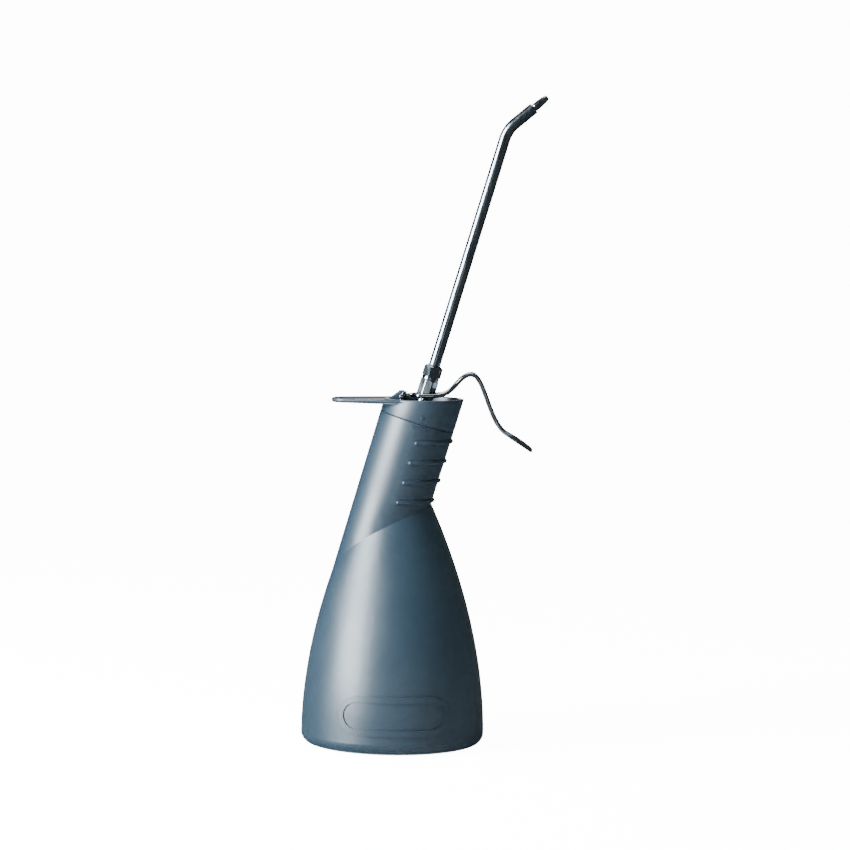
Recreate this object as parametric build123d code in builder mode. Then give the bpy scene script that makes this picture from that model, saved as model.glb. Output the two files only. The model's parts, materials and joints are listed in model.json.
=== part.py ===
from build123d import *
import math
import os

# Thumb-pump oil can: a bell-shaped reservoir with a leaning neck, a plug-in closure that
# carries the whole pump, a squeeze lever and a rigid spout.  All sizes are millimetres.
# +Z is up, +X is the way the spout leans, the badge is on the -Y side, and the origin is
# the middle of the standing face.
#
# Heights along the pump are "levels": distances from pump_origin along the leaning pump
# axis, positive towards the spout.

# ---------------------------------------------------------------- driving dimensions
# reservoir
base_radius = 45.6
shoulder_height = 120.0
shoulder_radius = 17.8
bell_power = 1.87
bell_top_extra = 4.5
bell_oval_share = 0.14
bell_oval_from = 25.0
bell_oval_to = 105.0
wall = 1.9
floor_thickness = 2.0
foot_radius = 5.6
foot_ring_width = 4.0
foot_recess_depth = 1.6
inner_corner_radius = 3.7

# neck and pump axis
lean_deg = 16.3
rim_height = 172.3
neck_radius = 19.05
neck_draft_deg = 0.3
neck_foot_below_shoulder = 50.5
neck_back_inset = 0.256
mouth_wall = 1.85
neck_bore_step = 0.1
parting_level = -11.6
parting_gap = 0.1
parting_chamfer = 0.35
neck_mouth_depth = 14.0

# finger ribs, index bar and badge on the reservoir
rib_count = 4
rib_first_below_rim = 21.0
rib_pitch = 9.8
rib_radius = 1.1
rib_half_angle_deg = 82.0
index_bar_angle_deg = -85.0
index_bar_sweep_deg = 21.0
index_bar_height = 1.0
index_bar_proud = 0.5
index_bar_below = 1.7
badge_height_z = 19.5
badge_width = 53.8
badge_depth = 19.4
badge_inner_width = 49.8
badge_inner_depth = 13.2
badge_proud = 0.6
badge_shift = 1.0

# closure
cap_deck_thickness = 2.6
cap_rim_thickness = 2.05
plug_length = 8.4
plug_wall = 2.0
plug_clearance = 0.2
seal_section = 1.25
seal_groove_height = 1.7
seal_nip_gap = 0.05
tongue_reach = 46.0
tongue_tip_radius = 8.4
tongue_thickness = 2.3
tongue_border = 1.5
tongue_dish = 0.9
arrow_size = 3.0
arrow_proud = 0.35

# lever pivot
pivot_from_axis = 11.1
pivot_above_rim = 1.2
pivot_pin_radius = 1.2
pivot_clearance = 0.05
lug_inner = 3.2
lug_thickness = 2.2
lug_head_radius = 2.6
lug_foot_length = 6.4
pivot_head_radius = 2.1
pivot_head_thickness = 1.2
pivot_end_reach = 2.3
split_hole_radius = 0.6
split_wire_radius = 0.27

# lever
lever_thickness = 2.0
lever_eye_radius = 2.2
lever_side_gap = 0.1
lever_ring_width = 17.0
lever_strap_width = 9.0
lever_pad_width = 15.0
lever_slot_gap = 0.5
lever_above_rim = 0.65
lever_rise = 13.5
lever_drop = 26.9
lever_bend_reach = 21.1
lever_peak_reach = 35.8
lever_knee_reach = 48.0
lever_tip_reach = 64.6
lever_bend_radii = [8.0, 4.6, 10.0]

# pump head, union nut and thrust pins
head_across_flats = 9.0
head_sides = 8
head_bottom_level = 0.6
head_length = 8.9
boss_radius = 4.2
boss_length = 3.8
stub_radius = 3.2
stub_length = 5.5
nut_wall = 0.7
nut_length = 7.8
nut_collar_length = 1.8
nut_turn_deg = 15.0
thrust_pin_radius = 1.0
thrust_pin_reach = 8.0
thrust_pin_root = 2.7
thrust_contact_gap = 0.05

# pump inside
rod_radius = 3.2
rod_bore = 1.6
rod_spigot_radius = 2.4
rod_clearance = 0.06
piston_length = 6.0
barrel_bore = 6.2
piston_clearance = 0.1
barrel_wall = 1.2
barrel_neck_radius = 6.5
barrel_neck_above_deck = 2.4
barrel_shoulder_radius = 9.2
barrel_shoulder_thickness = 2.0
barrel_roof_thickness = 2.4
barrel_length = 30.0
gasket_thickness = 1.0
locknut_across_flats = 16.0
fit_gap = 0.02
rod_seal_radius = 5.0
rod_seal_thickness = 1.6
retainer_thickness = 1.4
piston_seal_height = 1.6
piston_seal_depth = 1.2

# valves, spring and pickup
intake_ball_radius = 2.0
intake_bore = 1.6
intake_chamber_radius = 2.6
intake_lift = 1.0
cage_thickness = 1.0
valve_flange_thickness = 2.0
valve_plug_length = 4.9
nipple_length = 5.0
nipple_bore = 0.9
tube_outer_radius = 2.5
tube_inner_radius = 1.6
pickup_above_floor = 5.38
pickup_off_wall = 3.0
strainer_radius = 4.0
strainer_length = 13.5
strainer_wall = 0.7
strainer_sleeve_length = 7.0
strainer_slots = 8
spring_outer_radius = 5.2
spring_wire = 1.1
delivery_ball_radius = 1.5
delivery_bore = 1.1
delivery_seat_level = 5.0
delivery_chamber_radius = 2.2
delivery_spring_radius = 1.9
delivery_spring_wire = 0.5
valve_stop_length = 1.2
valve_stop_bore = 1.0
ball_seat_gap = 0.03

# spout
spout_radius = 2.9
spout_bore = 2.1
spout_seat_gap = 0.1
spout_turn_gap = 0.05
spout_straight_level = 139.1
spout_end_lean_deg = 50.0
spout_bend_radius = 16.5
spout_end_length = 16.9
spout_end_chamfer = 0.5
ferrule_wall = 0.6
ferrule_length = 1.2
nozzle_length = 8.6
nozzle_tip_radius = 1.3
nozzle_root_radius = 2.1
nozzle_spigot_length = 6.0
nozzle_outlet_radius = 0.5

# ---------------------------------------------------------------- derived positions
lean = math.radians(lean_deg)
pump_dir = Vector(math.sin(lean), 0, math.cos(lean))
cross_dir = Vector(math.cos(lean), 0, -math.sin(lean))
bell_top = shoulder_height + bell_top_extra
floor_height = foot_recess_depth + floor_thickness
foot_recess_radius = base_radius - foot_radius - foot_ring_width


def bell_radius(height, inset=0.0):
    """Outside radius of the bell at a height, moved inwards square to the wall."""
    span = shoulder_height - foot_radius
    drop = base_radius - shoulder_radius
    ratio = max(height - foot_radius, 0.0) / span
    slope = drop * bell_power / span * ratio ** (bell_power - 1)
    return base_radius - drop * ratio**bell_power - inset * math.hypot(1, slope)


# The neck's back runs into the bell's back at the neck's foot, which sets where it leans from.
neck_foot_height = shoulder_height - neck_foot_below_shoulder
mouth_level = parting_level - parting_gap
neck_end_level = (neck_foot_height - rim_height) / math.cos(lean)
neck_length = mouth_level - neck_end_level
neck_end_radius = neck_radius - neck_length * math.tan(math.radians(neck_draft_deg))
neck_foot_x = neck_back_inset + neck_end_radius / math.cos(lean) - bell_radius(neck_foot_height)
pump_origin_x = neck_foot_x + (rim_height - neck_foot_height) * math.tan(lean)
pump_origin = Vector(pump_origin_x, 0, rim_height)
pump_axis = Axis(pump_origin, pump_dir)
pump_side = Plane(origin=pump_origin, x_dir=cross_dir, z_dir=(0, -1, 0))


def on_axis(level):
    """Point on the pump axis at a level."""
    return pump_origin + pump_dir * level


def station(level):
    """Plane square to the pump axis at a level, its x pointing to the spout side."""
    return Plane(origin=on_axis(level), x_dir=cross_dir, z_dir=pump_dir)


def radial_plane(angle_deg):
    """Plane through the pump axis whose x points out at an angle from the spout side."""
    angle = math.radians(angle_deg)
    outward = cross_dir * math.cos(angle) + Vector(0, 1, 0) * math.sin(angle)
    return Plane(origin=pump_origin, x_dir=outward, z_dir=outward.cross(pump_dir))


def ring(inner, outer, low, high):
    """Corners of a turned ring's section, as (radius, level) pairs."""
    return [(inner, low), (outer, low), (outer, high), (inner, high)]


def bell_squeeze(height):
    """Share by which the bell is narrower across Y than along X at a height."""
    rise = (height - bell_oval_from) / (bell_oval_to - bell_oval_from)
    rise = min(max(rise, 0.0), 1.0)
    return bell_oval_share * rise * rise * (3 - 2 * rise)


def bell_solid(low, high, inset, count=10):
    """Solid of the bell between two heights: round at the foot, oval at the shoulder."""
    step = (high - low) / (count - 1)
    with BuildPart() as solid:
        for i in range(count):
            height = low + step * i
            half_x = bell_radius(height, inset)
            half_y = half_x - bell_radius(height) * bell_squeeze(height)
            with BuildSketch(Plane.XY.offset(height)):
                Ellipse(half_x, half_y)
        loft()
    return solid.part


bore_radius = neck_radius - mouth_wall
plug_radius = bore_radius - plug_clearance

deck_top_level = parting_level + cap_deck_thickness
pocket_radius = neck_radius - cap_rim_thickness
plug_end_level = parting_level - plug_length
plug_inner_radius = plug_radius - plug_wall
seal_level = parting_level - plug_length * 0.55
seal_outer_radius = bore_radius - seal_nip_gap
groove_radius = seal_outer_radius - seal_section - fit_gap

pivot = Vector(pump_origin_x - pivot_from_axis, 0, rim_height + pivot_above_rim)
pivot_hole_radius = pivot_pin_radius + pivot_clearance
lug_outer = lug_inner + lug_thickness
pin_near_end = lug_outer + pivot_end_reach
split_pin_y = -(lug_outer + pivot_end_reach * 0.45)

lever_mid_height = rim_height + lever_above_rim + lever_thickness / 2
rail_underside = lever_mid_height - lever_thickness / 2
thrust_pin_height = rail_underside - thrust_contact_gap - thrust_pin_radius
thrust_level = (thrust_pin_height - rim_height) / math.cos(lean)
head_corner_radius = head_across_flats / 2 / math.cos(math.pi / head_sides)
slot_half_width = head_corner_radius + lever_slot_gap

head_top_level = head_bottom_level + head_length
boss_bottom_level = head_bottom_level - boss_length
stub_top_level = head_top_level + stub_length
nut_top_level = head_top_level + nut_length
ferrule_radius = spout_radius + ferrule_wall
nut_chamber_radius = ferrule_radius + spout_turn_gap
nut_across_flats = 2 * (nut_chamber_radius + nut_wall)
nut_thread_radius = stub_radius + fit_gap
rod_socket_level = delivery_seat_level - 2.0

shoulder_top_level = parting_level - gasket_thickness
shoulder_bottom_level = shoulder_top_level - barrel_shoulder_thickness
barrel_neck_top_level = deck_top_level + barrel_neck_above_deck
seal_pocket_depth = rod_seal_thickness + retainer_thickness
barrel_roof_level = shoulder_bottom_level - barrel_roof_thickness
barrel_end_level = barrel_roof_level - barrel_length
barrel_outer_radius = barrel_bore + barrel_wall
piston_top_level = barrel_roof_level - 0.1
piston_bottom_level = piston_top_level - piston_length
piston_radius = barrel_bore - piston_clearance
piston_seal_level = piston_top_level - piston_length / 2

valve_plug_top_level = barrel_end_level + valve_plug_length
valve_flange_bottom_level = barrel_end_level - valve_flange_thickness
cage_top_level = valve_plug_top_level + cage_thickness
intake_seat_drop = math.sqrt(intake_ball_radius**2 - intake_bore**2)
intake_ball_level = valve_plug_top_level - intake_ball_radius - intake_lift - 0.15
intake_seat_level = intake_ball_level - intake_seat_drop - ball_seat_gap
pickup_over_floor = rim_height - floor_height - pickup_above_floor - strainer_radius * math.sin(lean)
pickup_reach = pump_origin_x + base_radius - wall - pickup_off_wall - strainer_radius * math.cos(lean)
pickup_level = -min(pickup_over_floor / math.cos(lean), pickup_reach / math.sin(lean))
strainer_sleeve_level = pickup_level + strainer_length - strainer_sleeve_length
delivery_seat_drop = math.sqrt(delivery_ball_radius**2 - delivery_bore**2)
delivery_ball_level = delivery_seat_level + delivery_seat_drop + ball_seat_gap
delivery_spring_low = delivery_ball_level + delivery_ball_radius + ball_seat_gap
valve_stop_level = stub_top_level - valve_stop_length

spout_start_level = stub_top_level + spout_seat_gap
spout_corner = on_axis(spout_straight_level)
end_lean = math.radians(spout_end_lean_deg)
spout_end_dir = Vector(math.sin(end_lean), 0, math.cos(end_lean))
spout_end = spout_corner + spout_end_dir * spout_end_length
nozzle_side = Plane(
    origin=spout_end,
    x_dir=(math.cos(end_lean), 0, -math.sin(end_lean)),
    z_dir=(0, -1, 0),
)
nozzle_axis = Axis(spout_end, spout_end_dir)


def save(part, name):
    """Name a finished piece and write its STEP file."""
    part.label = name
    export_step(part, f"parts/{name}.step")


os.makedirs("parts", exist_ok=True)

# ---------------------------------------------------------------- reservoir
# The badge is a plain raised capsule band, cut from a slightly swollen bell.
with BuildPart() as badge_band:
    with BuildSketch(Plane.XZ.offset(base_radius * 0.6)):
        with Locations((badge_shift, badge_height_z)):
            SlotOverall(badge_width, badge_depth)
            SlotOverall(badge_inner_width, badge_inner_depth, mode=Mode.SUBTRACT)
    extrude(amount=base_radius * 0.6)
    add(bell_solid(foot_radius, badge_height_z + badge_depth, -badge_proud), mode=Mode.INTERSECT)

with BuildPart() as container:
    # bell on its rounded foot
    with BuildSketch(Plane.XZ):
        with BuildLine():
            foot_centre = (base_radius - foot_radius, foot_radius)
            CenterArc(foot_centre, foot_radius, -90, 90)
            Polyline(
                (base_radius, foot_radius),
                (0, foot_radius),
                (0, 0),
                (base_radius - foot_radius, 0),
            )
        make_face()
    revolve(axis=Axis.Z)
    add(bell_solid(foot_radius, bell_top, 0.0))
    # neck
    with BuildSketch(pump_side):
        Polygon(
            (0, neck_end_level),
            (neck_end_radius, neck_end_level),
            (neck_radius, mouth_level - parting_chamfer),
            (neck_radius - parting_chamfer, mouth_level),
            (0, mouth_level),
            align=None,
        )
    revolve(axis=pump_axis)
    add(badge_band.part)
    # finger ribs, each level with the floor and wrapped round the spout side
    for i in range(rib_count):
        rib_height = rim_height - rib_first_below_rim - rib_pitch * i
        rib_level = (rib_height - rim_height) / math.cos(lean)
        below_mouth = mouth_level - rib_level
        rib_neck_radius = neck_radius - below_mouth * math.tan(math.radians(neck_draft_deg))
        with BuildLine(Plane.XY.offset(rib_height)) as rib_path:
            EllipticalCenterArc(
                center=(on_axis(rib_level).X, 0),
                x_radius=rib_neck_radius / math.cos(lean),
                y_radius=rib_neck_radius,
                start_angle=-rib_half_angle_deg,
                arc_size=2 * rib_half_angle_deg,
            )
        rib_wire = rib_path.wires()[0]
        with BuildSketch(Plane(origin=rib_wire @ 0, z_dir=rib_wire % 0)):
            Circle(rib_radius)
        sweep(path=rib_wire)
        with Locations(rib_wire @ 0, rib_wire @ 1):
            Sphere(rib_radius)
    # index bar under the parting line
    with BuildSketch(radial_plane(index_bar_angle_deg - index_bar_sweep_deg / 2)):
        bar_top = mouth_level - index_bar_below
        Polygon(
            *ring(neck_radius - 0.8, neck_radius + index_bar_proud, bar_top - index_bar_height, bar_top),
            align=None,
        )
    revolve(axis=pump_axis, revolution_arc=index_bar_sweep_deg)
    # hollow of the bell
    inner_low = floor_height + inner_corner_radius
    inner_base = bell_radius(inner_low, wall)
    with BuildSketch(Plane.XZ):
        with BuildLine():
            inner_centre = (inner_base - inner_corner_radius, inner_low)
            CenterArc(inner_centre, inner_corner_radius, -90, 90)
            Polyline(
                (inner_base, inner_low),
                (0, inner_low),
                (0, floor_height),
                (inner_base - inner_corner_radius, floor_height),
            )
        make_face()
    revolve(axis=Axis.Z, mode=Mode.SUBTRACT)
    add(bell_solid(inner_low, bell_top - wall, wall), mode=Mode.SUBTRACT)
    # bore of the neck: parallel where the closure plugs in, then following the outside
    with BuildSketch(pump_side):
        mouth_end = mouth_level - neck_mouth_depth
        Polygon(
            (0, neck_end_level),
            (neck_end_radius - wall, neck_end_level),
            (bore_radius - neck_bore_step, mouth_end),
            (bore_radius, mouth_end),
            (bore_radius, mouth_level + 1),
            (0, mouth_level + 1),
            align=None,
        )
    revolve(axis=pump_axis, mode=Mode.SUBTRACT)
    # recess that leaves a standing ring
    with BuildSketch(Plane.XY):
        Circle(foot_recess_radius)
    extrude(amount=foot_recess_depth, mode=Mode.SUBTRACT)
save(container.part, "container")

# ---------------------------------------------------------------- closure
# The tongue's plan is the closure's rim and a small tip circle joined by tangent sides.
tip_x = pump_origin_x - tongue_reach + tongue_tip_radius


def tongue_plan(inset):
    """Corners of the tongue's straight sides, from the closure's middle to the tip circle."""
    big = neck_radius - inset
    small = tongue_tip_radius - inset
    side = math.asin((big - small) / (pump_origin_x - tip_x))
    return [
        (pump_origin_x - big * math.sin(side), -big * math.cos(side)),
        (tip_x - small * math.sin(side), -small * math.cos(side)),
        (tip_x - small * math.sin(side), small * math.cos(side)),
        (pump_origin_x - big * math.sin(side), big * math.cos(side)),
    ]


with BuildPart() as cap:
    with BuildSketch(pump_side):
        Polygon(
            (0, parting_level),
            (neck_radius - parting_chamfer, parting_level),
            (neck_radius, parting_level + parting_chamfer),
            (neck_radius, neck_radius),
            (0, neck_radius),
            align=None,
        )
    revolve(axis=pump_axis)
    split(bisect_by=Plane.XY.offset(rim_height), keep=Keep.BOTTOM)
    # thumb tongue
    with BuildSketch(Plane.XY.offset(rim_height - tongue_thickness)):
        Polygon(*tongue_plan(0), align=None)
        with Locations((tip_x, 0)):
            Circle(tongue_tip_radius)
    extrude(amount=tongue_thickness)
    with BuildSketch(Plane.XY.offset(rim_height - tongue_dish)):
        Polygon(*tongue_plan(tongue_border), align=None)
        with Locations((tip_x, 0)):
            Circle(tongue_tip_radius - tongue_border)
    extrude(amount=tongue_dish, mode=Mode.SUBTRACT)
    # rim wall put back under the dish, then the open pocket above the deck
    with BuildSketch(pump_side):
        Polygon(
            *ring(pocket_radius, neck_radius, parting_level + parting_chamfer, neck_radius),
            align=None,
        )
    revolve(axis=pump_axis)
    split(bisect_by=Plane.XY.offset(rim_height), keep=Keep.BOTTOM)
    with BuildSketch(pump_side):
        Polygon(*ring(0, pocket_radius, deck_top_level, neck_radius), align=None)
    revolve(axis=pump_axis, mode=Mode.SUBTRACT)
    # plug with its seal groove
    with BuildSketch(pump_side):
        Polygon(*ring(plug_inner_radius, plug_radius, plug_end_level, parting_level), align=None)
    revolve(axis=pump_axis)
    with BuildSketch(pump_side):
        groove_low = seal_level - seal_groove_height / 2
        Polygon(
            *ring(groove_radius, plug_radius + 1, groove_low, groove_low + seal_groove_height),
            align=None,
        )
    revolve(axis=pump_axis, mode=Mode.SUBTRACT)
    # lever lugs, one each side of the eye
    lug_plane = Plane.XZ.offset(-lug_outer)
    wall_foot = pump_side.from_local_coords((-pocket_radius - 0.9, deck_top_level - 1, 0))
    deck_foot = pump_side.from_local_coords(
        (-pocket_radius + lug_foot_length, deck_top_level - 1, 0)
    )
    with BuildSketch(lug_plane):
        Polygon(
            (wall_foot.X, wall_foot.Z),
            (deck_foot.X, deck_foot.Z),
            (pivot.X + lug_head_radius, pivot.Z),
            (pivot.X - lug_head_radius * 0.4, pivot.Z + lug_head_radius * 0.9),
            (wall_foot.X + 0.6, rim_height - 0.2),
            align=None,
        )
        with Locations((pivot.X, pivot.Z)):
            Circle(lug_head_radius)
    extrude(amount=lug_thickness)
    mirror(about=Plane.XZ)
    with BuildSketch(Plane.XZ.offset(-lug_outer - 1)):
        with Locations((pivot.X, pivot.Z)):
            Circle(pivot_hole_radius)
    extrude(amount=2 * lug_outer + 2, mode=Mode.SUBTRACT)
    # hole for the pump barrel
    with BuildSketch(station(parting_level - 1)):
        Circle(barrel_neck_radius + fit_gap)
    extrude(amount=cap_deck_thickness + 2, mode=Mode.SUBTRACT)
    # plain arrow over the index bar
    arrow_out = radial_plane(index_bar_angle_deg).x_dir
    arrow_origin = on_axis(parting_level + 1.6) + arrow_out * (neck_radius - 0.8)
    arrow_plane = Plane(origin=arrow_origin, x_dir=pump_dir.cross(arrow_out), z_dir=arrow_out)
    with BuildSketch(arrow_plane):
        Polygon((0, 0), (arrow_size / 2, arrow_size * 0.8), (-arrow_size / 2, arrow_size * 0.8), align=None)
    extrude(amount=0.8 + arrow_proud)
save(cap.part, "cap")

with BuildPart() as cap_seal:
    with BuildSketch(pump_side):
        with Locations((seal_outer_radius - seal_section / 2, seal_level)):
            Circle(seal_section / 2)
    revolve(axis=pump_axis)
save(cap_seal.part, "cap_seal")

# ---------------------------------------------------------------- pump barrel
with BuildPart() as pump_barrel:
    with BuildSketch(pump_side):
        guide = rod_radius + rod_clearance
        pocket_low = barrel_neck_top_level - seal_pocket_depth
        Polygon(
            (barrel_bore, barrel_end_level),
            (barrel_outer_radius, barrel_end_level),
            (barrel_outer_radius, shoulder_bottom_level),
            (barrel_shoulder_radius, shoulder_bottom_level),
            (barrel_shoulder_radius, shoulder_top_level),
            (barrel_neck_radius, shoulder_top_level),
            (barrel_neck_radius, barrel_neck_top_level),
            (rod_seal_radius, barrel_neck_top_level),
            (rod_seal_radius, pocket_low),
            (guide, pocket_low),
            (guide, barrel_roof_level),
            (barrel_bore, barrel_roof_level),
            align=None,
        )
    revolve(axis=pump_axis)
save(pump_barrel.part, "pump_barrel")

with BuildPart() as barrel_gasket:
    with BuildSketch(pump_side):
        Polygon(
            *ring(barrel_neck_radius + fit_gap, barrel_shoulder_radius, shoulder_top_level, parting_level),
            align=None,
        )
    revolve(axis=pump_axis)
save(barrel_gasket.part, "barrel_gasket")

with BuildPart() as barrel_locknut:
    with BuildSketch(station(deck_top_level)):
        RegularPolygon(locknut_across_flats / 2, 6, major_radius=False)
        Circle(barrel_neck_radius + fit_gap, mode=Mode.SUBTRACT)
    extrude(amount=barrel_neck_above_deck)
save(barrel_locknut.part, "barrel_locknut")

with BuildPart() as rod_seal:
    with BuildSketch(pump_side):
        Polygon(
            *ring(guide, rod_seal_radius - fit_gap, pocket_low, pocket_low + rod_seal_thickness),
            align=None,
        )
    revolve(axis=pump_axis)
save(rod_seal.part, "rod_seal")

with BuildPart() as seal_retainer:
    with BuildSketch(pump_side):
        retainer_low = pocket_low + rod_seal_thickness
        Polygon(
            *ring(guide, rod_seal_radius - fit_gap, retainer_low, retainer_low + retainer_thickness),
            align=None,
        )
    revolve(axis=pump_axis)
save(seal_retainer.part, "seal_retainer")

# ---------------------------------------------------------------- intake valve and pickup
with BuildPart() as intake_valve_body:
    with BuildSketch(pump_side):
        nipple_end = valve_flange_bottom_level - nipple_length
        Polygon(
            (nipple_bore, nipple_end),
            (tube_inner_radius - fit_gap, nipple_end),
            (tube_inner_radius - fit_gap, valve_flange_bottom_level),
            (barrel_outer_radius, valve_flange_bottom_level),
            (barrel_outer_radius, barrel_end_level),
            (barrel_bore - fit_gap, barrel_end_level),
            (barrel_bore - fit_gap, valve_plug_top_level),
            (intake_chamber_radius, valve_plug_top_level),
            (intake_chamber_radius, intake_seat_level),
            (intake_bore, intake_seat_level),
            (intake_bore, valve_flange_bottom_level),
            (nipple_bore, valve_flange_bottom_level),
            align=None,
        )
    revolve(axis=pump_axis)
save(intake_valve_body.part, "intake_valve_body")

with BuildPart() as intake_cage:
    with BuildSketch(station(valve_plug_top_level)):
        Circle(barrel_bore - piston_clearance)
        Circle(intake_ball_radius * 0.45, mode=Mode.SUBTRACT)
        with PolarLocations(intake_chamber_radius - 0.8, 3):
            Circle(0.55, mode=Mode.SUBTRACT)
    extrude(amount=cage_thickness)
save(intake_cage.part, "intake_cage")

with BuildPart() as intake_ball:
    with Locations(on_axis(intake_ball_level)):
        Sphere(intake_ball_radius)
save(intake_ball.part, "intake_ball")

with BuildPart() as suction_tube:
    with BuildSketch(pump_side):
        tube_end = strainer_sleeve_level
        Polygon(
            *ring(tube_inner_radius, tube_outer_radius, tube_end, valve_flange_bottom_level),
            align=None,
        )
    revolve(axis=pump_axis)
save(suction_tube.part, "suction_tube")

with BuildPart() as strainer:
    with BuildSketch(pump_side):
        basket_inner = strainer_radius - strainer_wall
        sleeve_inner = tube_outer_radius + fit_gap
        sleeve_outer = sleeve_inner + strainer_wall
        Polygon(
            (0, pickup_level),
            (strainer_radius, pickup_level),
            (strainer_radius, strainer_sleeve_level),
            (sleeve_outer, strainer_sleeve_level),
            (sleeve_outer, pickup_level + strainer_length),
            (sleeve_inner, pickup_level + strainer_length),
            (sleeve_inner, strainer_sleeve_level - strainer_wall),
            (basket_inner, strainer_sleeve_level - strainer_wall),
            (basket_inner, pickup_level + strainer_wall),
            (0, pickup_level + strainer_wall),
            align=None,
        )
    revolve(axis=pump_axis)
    with BuildSketch(station(pickup_level + 2 * strainer_wall)):
        with PolarLocations(strainer_radius - strainer_wall / 2, strainer_slots):
            Rectangle(4 * strainer_wall, 1.3)
        Circle(basket_inner - 1, mode=Mode.SUBTRACT)
    extrude(amount=strainer_sleeve_level - pickup_level - 5 * strainer_wall, mode=Mode.SUBTRACT)
save(strainer.part, "strainer")

with BuildPart() as return_spring:
    with BuildSketch(pump_side):
        spring_inner = spring_outer_radius - spring_wire
        Polygon(
            *ring(spring_inner, spring_outer_radius, cage_top_level, piston_bottom_level),
            align=None,
        )
    revolve(axis=pump_axis)
save(return_spring.part, "return_spring")

# ---------------------------------------------------------------- moving pump parts
with BuildPart() as piston_rod:
    with BuildSketch(pump_side):
        Polygon(
            (rod_bore, piston_bottom_level),
            (rod_spigot_radius, piston_bottom_level),
            (rod_spigot_radius, piston_top_level),
            (rod_radius, piston_top_level),
            (rod_radius, boss_bottom_level),
            (rod_spigot_radius, boss_bottom_level),
            (rod_spigot_radius, rod_socket_level),
            (rod_bore, rod_socket_level),
            align=None,
        )
    revolve(axis=pump_axis)
save(piston_rod.part, "piston_rod")

with BuildPart() as piston:
    with BuildSketch(pump_side):
        seal_low = piston_seal_level - piston_seal_height / 2
        seal_bottom_radius = piston_radius - piston_seal_depth
        Polygon(
            (rod_spigot_radius + fit_gap, piston_bottom_level),
            (piston_radius, piston_bottom_level),
            (piston_radius, seal_low),
            (seal_bottom_radius, seal_low),
            (seal_bottom_radius, seal_low + piston_seal_height),
            (piston_radius, seal_low + piston_seal_height),
            (piston_radius, piston_top_level),
            (rod_spigot_radius + fit_gap, piston_top_level),
            align=None,
        )
    revolve(axis=pump_axis)
save(piston.part, "piston")

with BuildPart() as piston_seal:
    with BuildSketch(pump_side):
        Polygon(
            *ring(
                seal_bottom_radius + fit_gap,
                barrel_bore - piston_clearance / 2,
                seal_low + fit_gap,
                seal_low + piston_seal_height - fit_gap,
            ),
            align=None,
        )
    revolve(axis=pump_axis)
save(piston_seal.part, "piston_seal")

with BuildPart() as pump_head:
    with BuildSketch(station(boss_bottom_level)):
        Circle(boss_radius)
    extrude(amount=boss_length)
    with BuildSketch(station(head_bottom_level)):
        RegularPolygon(head_across_flats / 2, head_sides, major_radius=False, rotation=180 / head_sides)
    extrude(amount=head_length)
    with BuildSketch(station(head_top_level)):
        Circle(stub_radius)
    extrude(amount=stub_length)
    # stepped bore: rod socket, valve throat, ball chamber
    with BuildSketch(pump_side):
        Polygon(
            (0, boss_bottom_level - 1),
            (rod_spigot_radius + fit_gap, boss_bottom_level - 1),
            (rod_spigot_radius + fit_gap, rod_socket_level),
            (delivery_bore, rod_socket_level),
            (delivery_bore, delivery_seat_level),
            (delivery_chamber_radius, delivery_seat_level),
            (delivery_chamber_radius, stub_top_level + 1),
            (0, stub_top_level + 1),
            align=None,
        )
    revolve(axis=pump_axis, mode=Mode.SUBTRACT)
    # blind holes for the thrust pins
    for side in (-1, 1):
        pin_plane = Plane(origin=on_axis(thrust_level), x_dir=cross_dir, z_dir=(0, side, 0))
        with BuildSketch(pin_plane.offset(thrust_pin_root)):
            Circle(thrust_pin_radius + fit_gap)
        extrude(amount=boss_radius, mode=Mode.SUBTRACT)
save(pump_head.part, "pump_head")

with BuildPart() as thrust_pins:
    for side in (-1, 1):
        pin_plane = Plane(origin=on_axis(thrust_level), x_dir=cross_dir, z_dir=(0, side, 0))
        with BuildSketch(pin_plane.offset(thrust_pin_root)):
            Circle(thrust_pin_radius)
        extrude(amount=thrust_pin_reach - thrust_pin_root)
save(thrust_pins.part, "thrust_pins")

with BuildPart() as delivery_ball:
    with Locations(on_axis(delivery_ball_level)):
        Sphere(delivery_ball_radius)
save(delivery_ball.part, "delivery_ball")

with BuildPart() as delivery_spring:
    with BuildSketch(pump_side):
        Polygon(
            *ring(
                delivery_spring_radius - delivery_spring_wire,
                delivery_spring_radius,
                delivery_spring_low,
                valve_stop_level,
            ),
            align=None,
        )
    revolve(axis=pump_axis)
save(delivery_spring.part, "delivery_spring")

with BuildPart() as valve_stop:
    with BuildSketch(pump_side):
        Polygon(
            *ring(
                valve_stop_bore,
                delivery_chamber_radius - fit_gap,
                valve_stop_level,
                stub_top_level,
            ),
            align=None,
        )
    revolve(axis=pump_axis)
save(valve_stop.part, "valve_stop")

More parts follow.
